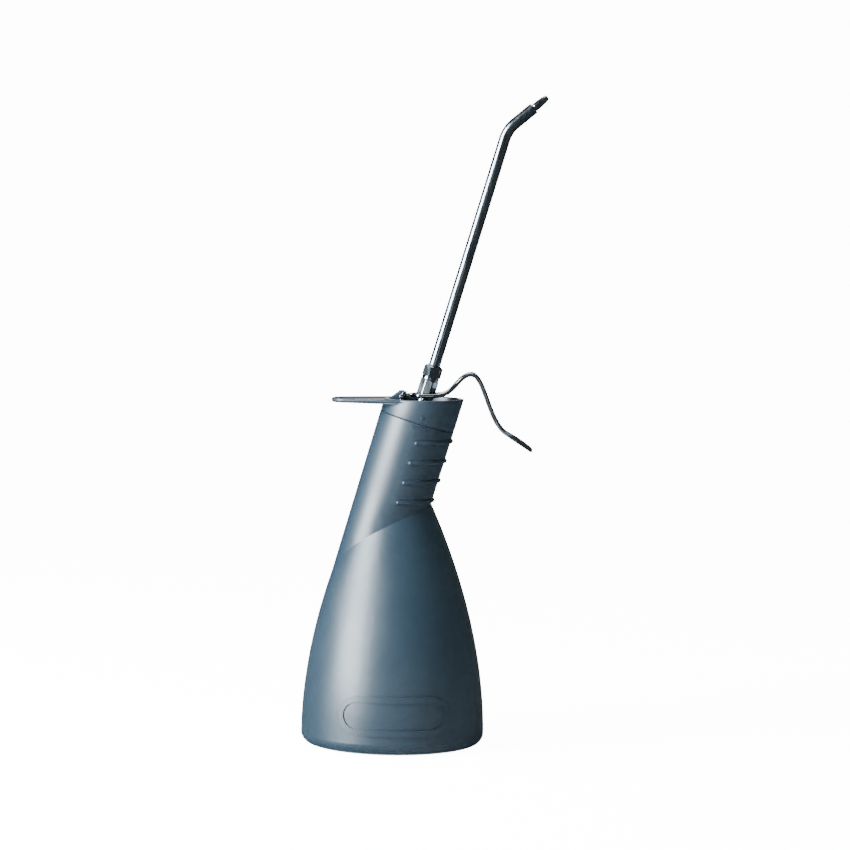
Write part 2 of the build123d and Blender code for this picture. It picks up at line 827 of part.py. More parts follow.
with BuildPart() as union_nut:
    with BuildSketch(station(head_top_level)):
        Circle(nut_across_flats / 2)
    extrude(amount=nut_collar_length)
    with BuildSketch(station(head_top_level + nut_collar_length)):
        RegularPolygon(nut_across_flats / 2, 6, major_radius=False, rotation=nut_turn_deg)
    extrude(amount=nut_length - nut_collar_length)
    with BuildSketch(pump_side):
        chamber_low = stub_top_level
        chamber_high = spout_start_level + ferrule_length + spout_turn_gap
        Polygon(
            (0, head_top_level - 1),
            (nut_thread_radius, head_top_level - 1),
            (nut_thread_radius, chamber_low),
            (nut_chamber_radius, chamber_low),
            (nut_chamber_radius, chamber_high),
            (spout_radius + spout_turn_gap, chamber_high),
            (spout_radius + spout_turn_gap, nut_top_level + 1),
            (0, nut_top_level + 1),
            align=None,
        )
    revolve(axis=pump_axis, mode=Mode.SUBTRACT)
    # turned chamfer on the hexagon's top corners
    with BuildSketch(pump_side):
        nut_corner = nut_across_flats / math.sqrt(3)
        Polygon(
            (nut_across_flats / 2, nut_top_level),
            (nut_corner + 0.2, nut_top_level - 0.6),
            (nut_corner + 0.2, nut_top_level + 0.2),
            (nut_across_flats / 2, nut_top_level + 0.2),
            align=None,
        )
    revolve(axis=pump_axis, mode=Mode.SUBTRACT)
save(union_nut.part, "union_nut")

# ---------------------------------------------------------------- spout
with BuildPart() as spout_tube:
    with BuildLine(Plane.XZ) as spout_path:
        spout_start = on_axis(spout_start_level)
        FilletPolyline(
            (spout_start.X, spout_start.Z),
            (spout_corner.X, spout_corner.Z),
            (spout_end.X, spout_end.Z),
            radius=spout_bend_radius,
        )
    with BuildSketch(station(spout_start_level)):
        Circle(spout_radius)
        Circle(spout_bore, mode=Mode.SUBTRACT)
    sweep(path=spout_path.wires()[0])
    # the open end is broken back a little where the nozzle leaves it
    with BuildSketch(nozzle_side):
        Polygon(
            (spout_radius, -spout_end_chamfer),
            (spout_radius + 0.3, -spout_end_chamfer),
            (spout_radius + 0.3, 0.2),
            (spout_radius - spout_end_chamfer, 0.2),
            (spout_radius - spout_end_chamfer, 0),
            align=None,
        )
    revolve(axis=nozzle_axis, mode=Mode.SUBTRACT)
save(spout_tube.part, "spout_tube")

with BuildPart() as ferrule:
    with BuildSketch(pump_side):
        Polygon(
            *ring(
                spout_radius + fit_gap,
                ferrule_radius,
                spout_start_level,
                spout_start_level + ferrule_length,
            ),
            align=None,
        )
    revolve(axis=pump_axis)
save(ferrule.part, "ferrule")

with BuildPart() as nozzle_tip:
    with BuildSketch(nozzle_side):
        Polygon(
            (nozzle_tip_radius, -nozzle_spigot_length),
            (spout_bore - fit_gap, -nozzle_spigot_length),
            (spout_bore - fit_gap, 0),
            (nozzle_root_radius, 0),
            (nozzle_root_radius * 0.95, nozzle_length * 0.25),
            (nozzle_tip_radius * 1.15, nozzle_length - 0.8),
            (nozzle_tip_radius, nozzle_length - 0.3),
            (nozzle_tip_radius - 0.4, nozzle_length),
            (nozzle_outlet_radius, nozzle_length),
            (nozzle_outlet_radius, nozzle_length * 0.4),
            (nozzle_tip_radius, nozzle_length * 0.2),
            align=None,
        )
    revolve(axis=nozzle_axis)
save(nozzle_tip.part, "nozzle_tip")

# ---------------------------------------------------------------- lever
with BuildPart() as lever:
    # bent strap seen from the side
    with BuildSketch(Plane.XZ):
        with BuildLine():
            FilletPolyline(
                (pivot.X, lever_mid_height),
                (pivot.X + lever_bend_reach, lever_mid_height),
                (pivot.X + lever_peak_reach, lever_mid_height + lever_rise),
                (pivot.X + lever_knee_reach, lever_mid_height + lever_rise - lever_drop - 1),
                (pivot.X + lever_tip_reach, lever_mid_height - lever_drop),
                radius=lever_bend_radii,
            )
        trace(line_width=lever_thickness)
        with Locations((pivot.X, pivot.Z)):
            Circle(lever_eye_radius)
    extrude(amount=lever_ring_width / 2, both=True)
    # plan outline: eye, ring round the pump head, strap, finger pad
    with BuildSketch(Plane.XY.offset(rim_height - 2 * lever_drop)):
        eye_half = lug_inner - lever_side_gap
        ring_start = pivot.X + lug_head_radius + 1.8
        ring_end = pivot.X + lever_bend_reach * 0.86
        strap_start = pivot.X + lever_bend_reach * 1.33
        strap_end = pivot.X + lever_knee_reach
        pad_start = pivot.X + lever_tip_reach - lever_pad_width * 0.62
        pad_centre = pivot.X + lever_tip_reach - lever_pad_width / 2 + 0.6
        outline = [
            (pivot.X - lever_eye_radius - 1, eye_half),
            (ring_start, eye_half),
            (ring_start + 2, lever_ring_width / 2),
            (ring_end, lever_ring_width / 2),
            (strap_start, lever_strap_width / 2),
            (strap_end, lever_strap_width / 2),
            (pad_start, lever_pad_width / 2),
            (pad_centre, lever_pad_width / 2),
        ]
        Polygon(*outline, *[(x, -y) for x, y in reversed(outline)], align=None)
        with Locations((pad_centre, 0)):
            Circle(lever_pad_width / 2)
    extrude(amount=4 * lever_drop, mode=Mode.INTERSECT)
    # slot round the pump head
    with BuildSketch(Plane.XY.offset(rim_height - lever_thickness)):
        axis_x = on_axis(thrust_level).X
        slot_low = axis_x - head_corner_radius - 1.2
        slot_high = axis_x + head_corner_radius + 3.0
        with Locations(((slot_low + slot_high) / 2, 0)):
            RectangleRounded(slot_high - slot_low, 2 * slot_half_width, slot_half_width * 0.45)
    extrude(amount=4 * lever_thickness, mode=Mode.SUBTRACT)
    # hole for the pivot pin
    with BuildSketch(Plane.XZ.offset(-lever_ring_width)):
        with Locations((pivot.X, pivot.Z)):
            Circle(pivot_hole_radius)
    extrude(amount=2 * lever_ring_width, mode=Mode.SUBTRACT)
save(lever.part, "lever")

# ---------------------------------------------------------------- pivot pin and split pin
with BuildPart() as pivot_pin:
    with BuildSketch(Plane.XZ.offset(-lug_outer - pivot_clearance)):
        with Locations((pivot.X, pivot.Z)):
            Circle(pivot_pin_radius)
    extrude(amount=lug_outer + pivot_clearance + pin_near_end)
    with BuildSketch(Plane.XZ.offset(-lug_outer - pivot_clearance - pivot_head_thickness)):
        with Locations((pivot.X, pivot.Z)):
            Circle(pivot_head_radius)
    extrude(amount=pivot_head_thickness)
    with BuildSketch(Plane.XY.offset(pivot.Z - pivot_head_radius)):
        with Locations((pivot.X, split_pin_y)):
            Circle(split_hole_radius)
    extrude(amount=2 * pivot_head_radius, mode=Mode.SUBTRACT)
save(pivot_pin.part, "pivot_pin")

with BuildPart() as split_pin:
    split_plane = Plane(origin=(pivot.X, split_pin_y, pivot.Z), x_dir=(1, 0, 0), z_dir=(0, -1, 0))
    leg_root = -pivot_pin_radius - 0.4
    leg_top = pivot_pin_radius + 0.6
    leg_offset = split_wire_radius * 0.85
    leg_ends = {-1: (-1.6, leg_top + 1.6), 1: (2.8, leg_top + 0.9)}
    for side, leg_end in leg_ends.items():
        with BuildLine(split_plane) as leg_path:
            FilletPolyline(
                (side * leg_offset, leg_root),
                (side * leg_offset, leg_top),
                leg_end,
                radius=2 * split_wire_radius,
            )
        leg_wire = leg_path.wires()[0]
        with BuildSketch(Plane(origin=leg_wire @ 0, z_dir=leg_wire % 0)):
            Circle(split_wire_radius)
        sweep(path=leg_wire)
    eye_radius = 3 * split_wire_radius
    with BuildSketch(split_plane.offset(-split_wire_radius * 0.8)):
        with Locations((0, leg_root - eye_radius + split_wire_radius)):
            Circle(eye_radius + split_wire_radius * 0.9)
            Circle(eye_radius - split_wire_radius * 0.9, mode=Mode.SUBTRACT)
    extrude(amount=1.6 * split_wire_radius)
save(split_pin.part, "split_pin")

head_stroke_room = boss_bottom_level - barrel_neck_top_level
print("room under the pump boss:", round(head_stroke_room, 2))
print("pivot:", round(pivot.X, 3), round(pivot.Z, 3), "thrust level:", round(thrust_level, 3))
print("spout end:", round(spout_end.X, 2), round(spout_end.Z, 2))
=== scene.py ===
import json
import math

import bmesh
import bpy
import numpy as np
from bpy.props import FloatProperty, FloatVectorProperty, PointerProperty
from mathutils import Matrix, Vector


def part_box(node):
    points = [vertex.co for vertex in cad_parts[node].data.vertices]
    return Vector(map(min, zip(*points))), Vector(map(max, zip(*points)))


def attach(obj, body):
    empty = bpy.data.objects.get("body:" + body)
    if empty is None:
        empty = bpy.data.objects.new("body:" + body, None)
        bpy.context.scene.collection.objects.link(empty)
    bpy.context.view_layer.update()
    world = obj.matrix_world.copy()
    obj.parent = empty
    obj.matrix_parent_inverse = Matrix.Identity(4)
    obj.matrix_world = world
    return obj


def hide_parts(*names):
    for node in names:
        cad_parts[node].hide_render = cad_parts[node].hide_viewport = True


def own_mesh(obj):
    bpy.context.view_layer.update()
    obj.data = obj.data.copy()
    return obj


bl_info = {
    "name": "Thumb-Pump Oil Can",
    "version": (1, 0, 0),
    "blender": (4, 5, 0),
    "location": "View3D > Sidebar > Oil Can",
    "description": "Dresses the packed oil can with finished meshes, materials and a studio",
    "category": "Object",
}

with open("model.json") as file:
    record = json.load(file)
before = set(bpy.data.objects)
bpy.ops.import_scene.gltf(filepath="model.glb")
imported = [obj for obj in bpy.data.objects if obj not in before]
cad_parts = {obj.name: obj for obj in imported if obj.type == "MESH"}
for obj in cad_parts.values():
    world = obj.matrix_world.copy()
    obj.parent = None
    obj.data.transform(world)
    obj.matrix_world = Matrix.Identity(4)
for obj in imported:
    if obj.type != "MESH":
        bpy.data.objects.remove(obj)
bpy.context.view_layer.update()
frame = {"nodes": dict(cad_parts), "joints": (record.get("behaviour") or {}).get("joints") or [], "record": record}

# ---------------------------------------------------------------- frame of the pump
# Radii, levels up the pump's axis and the outlines below are in millimetres; MM makes them metres.
MM = 0.001
JOINTS = {joint["name"]: joint for joint in frame["joints"]}
PUMP_DIR = Vector(JOINTS["spout_swivel"]["axis"]).normalized()
CROSS_DIR = Vector((PUMP_DIR.z, 0.0, -PUMP_DIR.x))
SIDE_DIR = Vector((0.0, 1.0, 0.0))
TO_BADGE_SIDE = Matrix(((1, 0, 0), (0, 0, -1), (0, 1, 0))).to_4x4()
SPOUT_SEAT_LEVEL = 15.1 * MM
PUMP_ORIGIN = Vector(JOINTS["spout_swivel"]["pos_m"]) - PUMP_DIR * SPOUT_SEAT_LEVEL
RIM_HEIGHT = PUMP_ORIGIN.z
PIVOT = Vector(JOINTS["lever_squeeze"]["pos_m"])
LEAN = math.atan2(PUMP_DIR.x, PUMP_DIR.z)


def pump_matrix(level=0.0, turn=0.0):
    """Local x across the pump towards the spout side, local z up the pump axis."""
    across = CROSS_DIR * math.cos(turn) + SIDE_DIR * math.sin(turn)
    side = PUMP_DIR.cross(across)
    spin = Matrix((across, side, PUMP_DIR)).transposed().to_4x4()
    return Matrix.Translation(PUMP_ORIGIN + PUMP_DIR * level) @ spin


# ---------------------------------------------------------------- properties
class OilCanFinish(bpy.types.PropertyGroup):
    """Colours and surface of the finishes."""

    plastic: FloatVectorProperty(
        name="Slate plastic", description="Colour of the moulded reservoir and closure",
        subtype="COLOR", default=(0.010, 0.021, 0.032), min=0.0, max=1.0,
    )
    plastic_roughness: FloatProperty(
        name="Plastic roughness", description="Satin of the moulded plastic",
        default=0.40, min=0.0, max=1.0, subtype="FACTOR",
    )
    steel: FloatVectorProperty(
        name="Dark steel", description="Colour of the pump head, spout and pins",
        subtype="COLOR", default=(0.24, 0.28, 0.32), min=0.0, max=1.0,
    )
    lever_steel: FloatVectorProperty(
        name="Lever steel", description="Colour of the polished pressed lever",
        subtype="COLOR", default=(0.36, 0.41, 0.45), min=0.0, max=1.0,
    )
    brass: FloatVectorProperty(
        name="Brass", description="Colour of the turned valve and pump fittings",
        subtype="COLOR", default=(0.62, 0.42, 0.16), min=0.0, max=1.0,
    )


class OilCanStudio(bpy.types.PropertyGroup):
    """Camera and lights."""

    distance: FloatProperty(
        name="Camera distance", description="Distance of the camera in front of the can",
        default=1.7, unit="LENGTH",
    )
    height: FloatProperty(
        name="Camera height", description="Height of the camera above the floor",
        default=0.289, unit="LENGTH",
    )
    lens: FloatProperty(name="Lens", description="Focal length in millimetres", default=145.4)
    roll: FloatProperty(
        name="Camera roll", description="Roll of the camera", default=math.radians(0.9),
        subtype="ANGLE",
    )
    key_power: FloatProperty(
        name="Key light", description="Power of the large soft light on the left", default=92.0,
        unit="POWER",
    )


# ---------------------------------------------------------------- node helpers
def new_material(name):
    """Empty node material with a Principled shader joined to its output."""
    material = bpy.data.materials.new(name)
    material.use_nodes = True
    return material, material.node_tree.nodes, material.node_tree.links


def object_noise(nodes, links, scale, detail, stretch=(1.0, 1.0, 1.0)):
    """Noise on Object coordinates, stretched along an axis where asked."""
    coordinates = nodes.new("ShaderNodeTexCoord")
    mapping = nodes.new("ShaderNodeMapping")
    mapping.inputs["Scale"].default_value = stretch
    noise = nodes.new("ShaderNodeTexNoise")
    noise.inputs["Scale"].default_value = scale
    noise.inputs["Detail"].default_value = detail
    links.new(coordinates.outputs["Object"], mapping.inputs["Vector"])
    links.new(mapping.outputs["Vector"], noise.inputs["Vector"])
    return noise


def ramp(nodes, links, source, low, high, start=0.35, stop=0.65):
    """Maps a noise's value to a range."""
    spread = nodes.new("ShaderNodeMapRange")
    spread.inputs["From Min"].default_value = start
    spread.inputs["From Max"].default_value = stop
    spread.inputs["To Min"].default_value = low
    spread.inputs["To Max"].default_value = high
    links.new(source, spread.inputs["Value"])
    return spread.outputs["Result"]


def tint(nodes, links, source, colour, change):
    """Colour that wanders a little round a base colour as a noise changes."""
    mix = nodes.new("ShaderNodeMix")
    mix.data_type = "RGBA"
    mix.inputs[6].default_value = (*[c * (1 - change) for c in colour], 1.0)
    mix.inputs[7].default_value = (*[min(1.0, c * (1 + change)) for c in colour], 1.0)
    links.new(source, mix.inputs[0])
    return mix.outputs[2]


def bump(nodes, links, sources):
    """Chain of bumps from (height output, strength, depth) triples."""
    normal = None
    for height, strength, depth in sources:
        node = nodes.new("ShaderNodeBump")
        node.inputs["Strength"].default_value = strength
        node.inputs["Distance"].default_value = depth
        links.new(height, node.inputs["Height"])
        if normal is not None:
            links.new(normal, node.inputs["Normal"])
        normal = node.outputs["Normal"]
    return normal


def slate_plastic(finish):
    """Moulded plastic: satin skin with a fine grain and faint flow clouds."""
    material, nodes, links = new_material("slate_plastic")
    shader = nodes["Principled BSDF"]
    clouds = object_noise(nodes, links, 26.0, 3.0)
    grain = object_noise(nodes, links, 2600.0, 2.0)
    flow = object_noise(nodes, links, 60.0, 2.0, (1.0, 1.0, 0.25))
    colour = tint(nodes, links, clouds.outputs["Fac"], finish.plastic, 0.10)
    links.new(colour, shader.inputs["Base Color"])
    rough = ramp(nodes, links, clouds.outputs["Fac"], finish.plastic_roughness - 0.03,
                 finish.plastic_roughness + 0.05)
    links.new(rough, shader.inputs["Roughness"])
    shader.inputs["Specular IOR Level"].default_value = 0.6
    relief = bump(nodes, links, [(flow.outputs["Fac"], 0.10, 0.0004),
                                 (grain.outputs["Fac"], 0.10, 0.00004)])
    links.new(relief, shader.inputs["Normal"])
    return material


def metal(name, colour, roughness, stretch, streak, change=0.12):
    """Bare metal: polishing streaks along the stretched axis and cloudy tarnish."""
    material, nodes, links = new_material(name)
    shader = nodes["Principled BSDF"]
    clouds = object_noise(nodes, links, 120.0, 4.0)
    streaks = object_noise(nodes, links, streak, 3.0, stretch)
    colour_out = tint(nodes, links, clouds.outputs["Fac"], colour, change)
    links.new(colour_out, shader.inputs["Base Color"])
    rough = ramp(nodes, links, streaks.outputs["Fac"], roughness * 0.8, roughness * 1.35)
    links.new(rough, shader.inputs["Roughness"])
    shader.inputs["Metallic"].default_value = 1.0
    links.new(bump(nodes, links, [(streaks.outputs["Fac"], 0.12, 0.00003)]), shader.inputs["Normal"])
    return material


def rubber():
    """Black seal rubber."""
    material, nodes, links = new_material("seal_rubber")
    shader = nodes["Principled BSDF"]
    dust = object_noise(nodes, links, 300.0, 4.0)
    links.new(tint(nodes, links, dust.outputs["Fac"], (0.018, 0.018, 0.02), 0.3),
              shader.inputs["Base Color"])
    shader.inputs["Roughness"].default_value = 0.6
    links.new(bump(nodes, links, [(dust.outputs["Fac"], 0.1, 0.00005)]), shader.inputs["Normal"])
    return material


def clear_tube():
    """Milky polyethylene of the suction tube."""
    material, nodes, links = new_material("clear_tube")
    shader = nodes["Principled BSDF"]
    haze = object_noise(nodes, links, 90.0, 2.0)
    links.new(tint(nodes, links, haze.outputs["Fac"], (0.72, 0.74, 0.68), 0.06),
              shader.inputs["Base Color"])
    shader.inputs["Roughness"].default_value = 0.32
    shader.inputs["Subsurface Weight"].default_value = 0.35
    shader.inputs["Subsurface Scale"].default_value = 0.003
    return material


MATERIALS = {}


def make_materials():
    """All finishes, by slot name."""
    finish = bpy.context.scene.oil_can_finish
    along_pump = (1.0, 1.0, 0.06)
    MATERIALS["slate_plastic"] = slate_plastic(finish)
    MATERIALS["dark_steel"] = metal("dark_steel", finish.steel, 0.17, along_pump, 500.0)
    MATERIALS["lever_steel"] = metal("lever_steel", finish.lever_steel, 0.13, (0.08, 1.0, 1.0), 420.0)
    MATERIALS["spring_steel"] = metal("spring_steel", (0.5, 0.5, 0.52), 0.25, (1.0, 1.0, 1.0), 600.0)
    MATERIALS["valve_brass"] = metal("valve_brass", finish.brass, 0.26, along_pump, 500.0)
    MATERIALS["seal_rubber"] = rubber()
    MATERIALS["clear_tube"] = clear_tube()


# ---------------------------------------------------------------- mesh helpers
def linked(name, data):
    """New object of a mesh, a lamp or a camera, in the scene."""
    made = bpy.data.objects.new(name, data)
    bpy.context.scene.collection.objects.link(made)
    return made


def grid(rows, wrap_rows=False, wrap_columns=False):
    """Points and quads of rows of points, joined row to row."""
    deep, wide = len(rows), len(rows[0])
    verts = [tuple(point) for row in rows for point in row]
    faces = []
    for i in range(deep if wrap_rows else deep - 1):
        for j in range(wide if wrap_columns else wide - 1):
            after_i, after_j = (i + 1) % deep, (j + 1) % wide
            faces.append((i * wide + j, i * wide + after_j, after_i * wide + after_j, after_i * wide + j))
    return verts, faces


def soften(corners, steps=4):
    """Closed outline of (x, y, round) corners, with each corner rounded to its own radius."""
    outline = []
    for i, (x, y, size) in enumerate(corners):
        here = np.array((x, y), float)
        if size <= 0:
            outline.append(here)
            continue
        back = np.array(corners[i - 1][:2]) - here
        on = np.array(corners[(i + 1) % len(corners)][:2]) - here
        room = 0.49 * min(np.linalg.norm(back), np.linalg.norm(on))
        back, on = back / np.linalg.norm(back), on / np.linalg.norm(on)
        half = math.acos(float(np.clip(back @ on, -0.9999, 0.9999))) / 2
        reach = min(size / math.tan(half), room)
        radius = reach * math.tan(half)
        centre = here + (back + on) / np.linalg.norm(back + on) * radius / math.sin(half)
        first, last = here + back * reach - centre, here + on * reach - centre
        begin = math.atan2(first[1], first[0])
        sweep = math.remainder(math.atan2(last[1], last[0]) - begin, 2 * math.pi)
        for k in range(steps + 1):
            angle = begin + sweep * k / steps
            outline.append(centre + radius * np.array((math.cos(angle), math.sin(angle))))
    return outline


def turned(profile, place, sides=0, flats=0.0, low=0.0, high=0.0, columns=96):
    """Closed turned shape from (radius, level) points in mm; between two levels it is cut to
    a hexagon or octagon of a half width over its flats."""
    rows = []
    for radius, level in profile:
        row = []
        for k in range(columns):
            angle = 2 * math.pi * (k + 0.5) / columns
            reach = radius
            if sides and low - 1e-6 <= level <= high + 1e-6:
                wedge = 2 * math.pi / sides
                reach = min(radius, flats / math.cos(angle % wedge - wedge / 2))
            row.append(place @ (Vector((reach * math.cos(angle), reach * math.sin(angle), level)) * MM))
        rows.append(row)
    return grid(rows, wrap_rows=True, wrap_columns=True)


def tube(stations, columns=48, closed=False):
    """Rings of (centre, direction, radius) stations whose path lies square to Y."""
    rows = []
    for centre, direction, radius in stations:
        across = direction.cross(SIDE_DIR)
        rows.append([centre + (across * math.cos(a) + SIDE_DIR * math.sin(a)) * radius
                     for a in (2 * math.pi * k / columns for k in range(columns))])
    return grid(rows, wrap_rows=closed, wrap_columns=True)


def smooth_step(value, start, stop):
    """0 before start, 1 after stop, and an even curve between."""
    share = min(max((value - start) / (stop - start), 0.0), 1.0)
    return share * share * (3 - 2 * share)


def spline(points, count):
    """Even samples of a smooth B-spline curve drawn by the points."""
    knots = [np.array(p, float) for p in points]
    knots = [2 * knots[0] - knots[1], *knots, 2 * knots[-1] - knots[-2]]
    curve = []
    for k in range(len(knots) - 3):
        a, b, c, d = knots[k:k + 4]
        for t in np.linspace(0, 1, 24, endpoint=False):
            curve.append(((1 - t) ** 3 * a + (3 * t**3 - 6 * t**2 + 4) * b
                          + (-3 * t**3 + 3 * t**2 + 3 * t + 1) * c + t**3 * d) / 6)
    curve.append(knots[-2])
    curve = np.array(curve)
    run = np.concatenate(([0], np.cumsum(np.linalg.norm(np.diff(curve, axis=0), axis=1))))
    wanted = np.linspace(0, run[-1], count)
    return np.stack([np.interp(wanted, run, curve[:, i]) for i in range(curve.shape[1])], axis=1)


def place_piece(name, shells, body, slot, nodes=(), sharp=32.0):
    """One object of closed shells, on its body, in its finish, in place of CAD nodes."""
    built = bmesh.new()
    for verts, faces in shells:
        part = bmesh.new()
        points = [part.verts.new(v) for v in verts]
        for face in faces:
            part.faces.new([points[k] for k in face])
        bmesh.ops.remove_doubles(part, verts=part.verts, dist=2e-6)
        bmesh.ops.dissolve_degenerate(part, dist=1e-6, edges=part.edges)
        bmesh.ops.recalc_face_normals(part, faces=part.faces)
        held = bpy.data.meshes.new("shell")
        part.to_mesh(held)
        part.free()
        built.from_mesh(held)
        bpy.data.meshes.remove(held)
    mesh = bpy.data.meshes.new(name)
    built.to_mesh(mesh)
    built.free()
    return dress(name, mesh, body, slot, nodes, sharp)


def dress(name, mesh, body, slot, nodes=(), sharp=32.0):
    """Object of a finished mesh: shading, material, body, slot and the nodes it stands for."""
    mesh.materials.clear()
    mesh.materials.append(MATERIALS[slot])
    mesh.shade_smooth()
    mesh.set_sharp_from_angle(angle=math.radians(sharp))
    piece = linked(name, mesh)
    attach(piece, body)
    if nodes:
        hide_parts(*nodes)
    return piece


def settled(mesh, *modifiers):
    """Plain mesh of a mesh after modifiers given as (type, settings)."""
    holder = linked("holder", mesh)
    for kind, settings in modifiers:
        modifier = holder.modifiers.new(kind.lower(), kind)
        for key, value in settings.items():
            setattr(modifier, key, value)
    return plain_mesh(holder)


def plain_mesh(holder):
    """Mesh of a holder's evaluated shape; the holder and its modifiers are removed."""
    bpy.context.view_layer.update()
    evaluated = holder.evaluated_get(bpy.context.evaluated_depsgraph_get())
    mesh = bpy.data.meshes.new_from_object(evaluated)
    bpy.data.objects.remove(holder)
    return mesh


def merged(mesh):
    """The mesh with its doubles merged and its faces turned outwards."""
    work = bmesh.new()
    work.from_mesh(mesh)
    bmesh.ops.remove_doubles(work, verts=work.verts, dist=2e-6)
    bmesh.ops.recalc_face_normals(work, faces=work.faces)
    work.to_mesh(mesh)
    work.free()
    return mesh


# ---------------------------------------------------------------- spout
SPOUT_RADIUS, SPOUT_BORE = 2.9, 2.1
SPOUT_CORNER_LEVEL, SPOUT_BEND, SPOUT_END_LENGTH = 139.1, 16.5, 16.9
SPOUT_END_LEAN = math.radians(50.0)
SPOUT_END_DIR = Vector((math.sin(SPOUT_END_LEAN), 0.0, math.cos(SPOUT_END_LEAN)))


def spout_end():
    """Point where the nozzle leaves the tube."""
    corner = PUMP_ORIGIN + PUMP_DIR * (SPOUT_CORNER_LEVEL * MM)
    return corner + SPOUT_END_DIR * (SPOUT_END_LENGTH * MM)


def spout_line(bend_steps=28):
    """(point, direction) stations from the seat in the union nut to the open end."""
    corner = PUMP_ORIGIN + PUMP_DIR * (SPOUT_CORNER_LEVEL * MM)
    turn = SPOUT_END_LEAN - LEAN
    reach = SPOUT_BEND * MM * math.tan(turn / 2)
    start = PUMP_ORIGIN + PUMP_DIR * SPOUT_SEAT_LEVEL
    bend_start = corner - PUMP_DIR * reach
    centre = bend_start + CROSS_DIR * (SPOUT_BEND * MM)
    line = [(start.lerp(bend_start, k / 12), PUMP_DIR) for k in range(12)]
    for k in range(bend_steps + 1):
        angle = turn * k / bend_steps
        direction = PUMP_DIR * math.cos(angle) + CROSS_DIR * math.sin(angle)
        outward = PUMP_DIR * math.sin(angle) - CROSS_DIR * math.cos(angle)
        line.append((centre + outward * (SPOUT_BEND * MM), direction))
    bend_end, end = line[-1][0], spout_end()
    line += [(bend_end.lerp(end, k / 4), SPOUT_END_DIR) for k in range(1, 5)]
    return line


def make_spout():
    """Steel tube with a rounded open end, and the tapered nozzle pressed into it."""
    line = spout_line()
    edge, edge_steps = 0.55 * MM, 5
    outside = [(p, d, SPOUT_RADIUS * MM) for p, d in line[:-1]]
    end, direction = line[-1]
    for k in range(edge_steps + 1):
        angle = math.pi / 2 * k / edge_steps
        outside.append((end - direction * (edge * (1 - math.sin(angle))), direction,
                        SPOUT_RADIUS * MM - edge * (1 - math.cos(angle))))
    inside = [(p, d, SPOUT_BORE * MM) for p, d in reversed(line)]
    place_piece("spout_pipe", [tube(outside + inside, 56, closed=True)], "spout", "dark_steel",
                ["spout_tube"])
    side = Vector((math.cos(SPOUT_END_LEAN), 0.0, -math.sin(SPOUT_END_LEAN)))
    spin = Matrix((side, SIDE_DIR, SPOUT_END_DIR)).transposed().to_4x4()
    place = Matrix.Translation(spout_end()) @ spin
    length, hole, wide_hole = 8.6, 0.55, 1.3
    shank_radius, shank_length, face = SPOUT_BORE - 0.03, 6.0, length - 0.03
    profile = soften([
        (wide_hole, -shank_length, 0.1), (shank_radius, -shank_length, 0.2), (shank_radius, -0.3, 0.1),
        (1.9, 0.15, 0.15), (2.05, 0.75, 0.25), (2.0, length * 0.42, 3.0), (1.72, length * 0.8, 2.0),
        (1.36, length - 0.4, 0.3), (0.95, face, 0.25), (hole + 0.12, face, 0.08),
        (hole, length - 0.25, 0.1), (hole, length * 0.4, 0.2), (wide_hole, length * 0.2, 0.2),
    ], 5)
    place_piece("spout_nozzle", [turned(profile, place, columns=56)], "spout", "dark_steel",
                ["nozzle_tip"])


# ---------------------------------------------------------------- pump head and nuts
HEAD_SIDES, NUT_SIDES = 8, 6


def flats_with_chamfer(flats, sides, low, high, drop, steps=6, below=True):
    """Outer part of a nut's section: turned chamfers at its ends, then its full corners."""
    corner = flats / math.cos(math.pi / sides) + 0.02
    face = flats * 0.985
    climb = [(face + (corner - face) * k / steps, drop * k / steps) for k in range(steps + 1)]
    lower = [(r, low + d) for r, d in climb] if below else [(corner, low)]
    return lower + [(r, high - d) for r, d in reversed(climb)]


def make_pump_head():
    """Octagon head with its boss, outlet stub and stepped bore, and its two thrust pins."""
    flats, low, high, chamfer = 4.5, 0.6, 9.5, 0.45
    boss, boss_end, stub, stub_end = 4.2, -3.2, 3.2, 15.0
    rod_socket, ball_bore, port = 2.42, 2.2, 1.1
    socket_roof, seat = 3.0, 5.0
    profile = [(rod_socket, boss_end), (boss - 0.3, boss_end), (boss, boss_end + 0.3), (boss, low - 0.05)]
    profile += flats_with_chamfer(flats, HEAD_SIDES, low, high, chamfer)
    profile += [(stub, high + 0.02), (stub, stub_end - 0.3), (stub - 0.25, stub_end), (ball_bore, stub_end),
                (ball_bore, seat), (port, seat), (port, socket_roof), (rod_socket, socket_roof)]
    head = turned(profile, pump_matrix(0.0, math.pi / HEAD_SIDES), HEAD_SIDES, flats, low, high, 96)
    place_piece("pump_head_block", [head], "plunger", "dark_steel", ["pump_head"], 28.0)
    low_corner, high_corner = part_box("thrust_pins")
    middle = (low_corner + high_corner) / 2
    pin_radius, pin_root, pin_end = 1.0, 2.7, 8.0
    section = soften([(0.0, pin_root, 0), (pin_radius, pin_root, 0.1), (pin_radius, pin_end, 0.3),
                      (0.0, pin_end, 0)], 5)
    pins = []
    for side in (-1, 1):
        spin = Matrix((CROSS_DIR, PUMP_DIR * side, SIDE_DIR * side)).transposed().to_4x4()
        pins.append(turned(section, Matrix.Translation((middle.x, 0.0, middle.z)) @ spin, columns=32))
    place_piece("thrust_pin_pair", pins, "plunger", "dark_steel", ["thrust_pins"])


